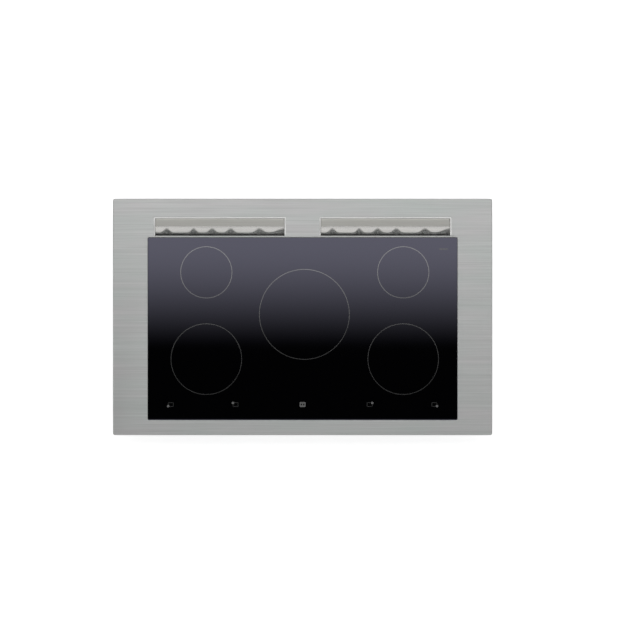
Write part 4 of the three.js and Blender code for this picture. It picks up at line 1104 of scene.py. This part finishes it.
def plane(name, size, place, look):
    """A flat sheet of the stage."""
    w, d = size
    mesh = bpy.data.meshes.new(name)
    corners = [(-w / 2, -d / 2, 0), (w / 2, -d / 2, 0), (w / 2, d / 2, 0), (-w / 2, d / 2, 0)]
    mesh.from_pydata(corners, [], [(0, 1, 2, 3)])
    mesh.materials.append(look)
    made = bpy.data.objects.new(name, mesh)
    made.location = place
    bpy.context.scene.collection.objects.link(made)
    return made


def floor():
    """The white floor that the cooktop stands on."""
    look = new_material("floor", (0.9, 0.9, 0.9), 0.9, Emission_Strength=FLOOR_GLOW)
    plane("floor", FLOOR_SIZE, (0, 0, FLOOR_Z), look)


def overhead_card():
    """A soft light overhead, dark straight above the front of the glass, which mirrors it."""
    look, light = emitter("card_light")
    place = node(look, "TexCoord").outputs["Object"]
    x, y, _ = node(look, "SeparateXYZ", {"Vector": place}).outputs
    fade = {"Value": y, "From Min": CARD_DARK_TO, "From Max": CARD_DARK_FROM}
    behind = node(look, "MapRange", fade, interpolation_type="SMOOTHSTEP").outputs["Result"]
    share = maths(look, "MAXIMUM", behind, spread(look, y, CARD_FRONT_SHARE, 0.0, *CARD_FRONT))
    inside = maths(look, "MULTIPLY", share, CARD_STRENGTH)
    reach = maths(look, "MAXIMUM", maths(look, "ABSOLUTE", x), maths(look, "ABSOLUTE", y))
    strength = spread(look, reach, inside, WORLD_STRENGTH[1], *CARD_RIM)
    look.node_tree.links.new(strength, light.inputs["Strength"])
    card = plane("overhead_card", (CARD_SIZE, CARD_SIZE), (0, 0, steel_top + CARD_HEIGHT), look)
    card.visible_camera = False
    card.visible_shadow = False


def studio():
    """The floor, the light overhead, and a world that is white at the horizon and greyer above."""
    floor()
    overhead_card()
    world = bpy.data.worlds.new("studio")
    world.use_nodes = True
    background = world.node_tree.nodes["Background"]
    background.inputs["Color"].default_value = (1, 1, 1, 1)
    direction = node(world, "TexCoord").outputs["Generated"]
    up = node(world, "SeparateXYZ", {"Vector": direction}).outputs["Z"]
    strength = spread(world, up, *WORLD_STRENGTH, *WORLD_FADE)
    world.node_tree.links.new(strength, background.inputs["Strength"])
    bpy.context.scene.world = world
    bpy.context.scene.view_settings.view_transform = "Standard"


def camera():
    """Straight above the cooktop, and far enough away to have almost no perspective."""
    lens = bpy.data.cameras.new("camera")
    lens.sensor_width = SENSOR_W
    lens.lens = SENSOR_W * CAMERA_HEIGHT / VIEW_W
    lens.clip_end = 100
    made = bpy.data.objects.new("camera", lens)
    made.location = (*VIEW_CENTRE, steel_top + CAMERA_HEIGHT)
    bpy.context.scene.collection.objects.link(made)
    bpy.context.scene.camera = made


# How far each node's folded, moulded or sawn edges are rounded, where it isn't EDGE.
EDGE = 0.25 * MM
EDGES = {"foam_seal": 0.8 * MM, "top_frame": 0.2 * MM, "insulation_sheet": 0.1 * MM}
SAME_POINT = 0.005 * MM
SAME_FLAT = math.radians(0.5)


def dress_cad():
    """Gives each CAD node its slot's material, and rounds its edges without moving its faces."""
    slots = {part["node"]: part["material_slot"] for part in frame["record"]["subparts"]}
    for name, obj in frame["nodes"].items():
        obj.data.materials.clear()
        obj.data.materials.append(LOOKS[slots[name]])
        obj.data.shade_smooth()
        modifier(obj, "WELD", merge_threshold=SAME_POINT)
        modifier(obj, "DECIMATE", decimate_type="DISSOLVE", angle_limit=SAME_FLAT)
        modifier(
            obj,
            "BEVEL",
            width=EDGES.get(name, EDGE),
            segments=2,
            limit_method="ANGLE",
            angle_limit=SOFTEN_ANGLE,
            harden_normals=True,
            miter_outer="MITER_ARC",
        )
        modifier(obj, "WEIGHTED_NORMAL", keep_sharp=True, weight=100)


camera()
studio()
dress_cad()
zone_rings()
touch_symbols()
corner_mark()
case_screws()
corner_laps()
wall_beads()
slot_lips()
earth_screw()
blank_plate()
terminal_lid_ribs()
cable_gland()
filter_board()
for side in ("left", "right"):
    vent_pressing(side)
    fan_hub(side)
    fan_guard(side)
    power_board(side)
for where in CLAMPS:
    clamp_threads(where)
    clamp_fittings(where)
for zone in ZONES:
    litz_winding(zone)
    coil_sensor(zone)
    coil_spring(zone)
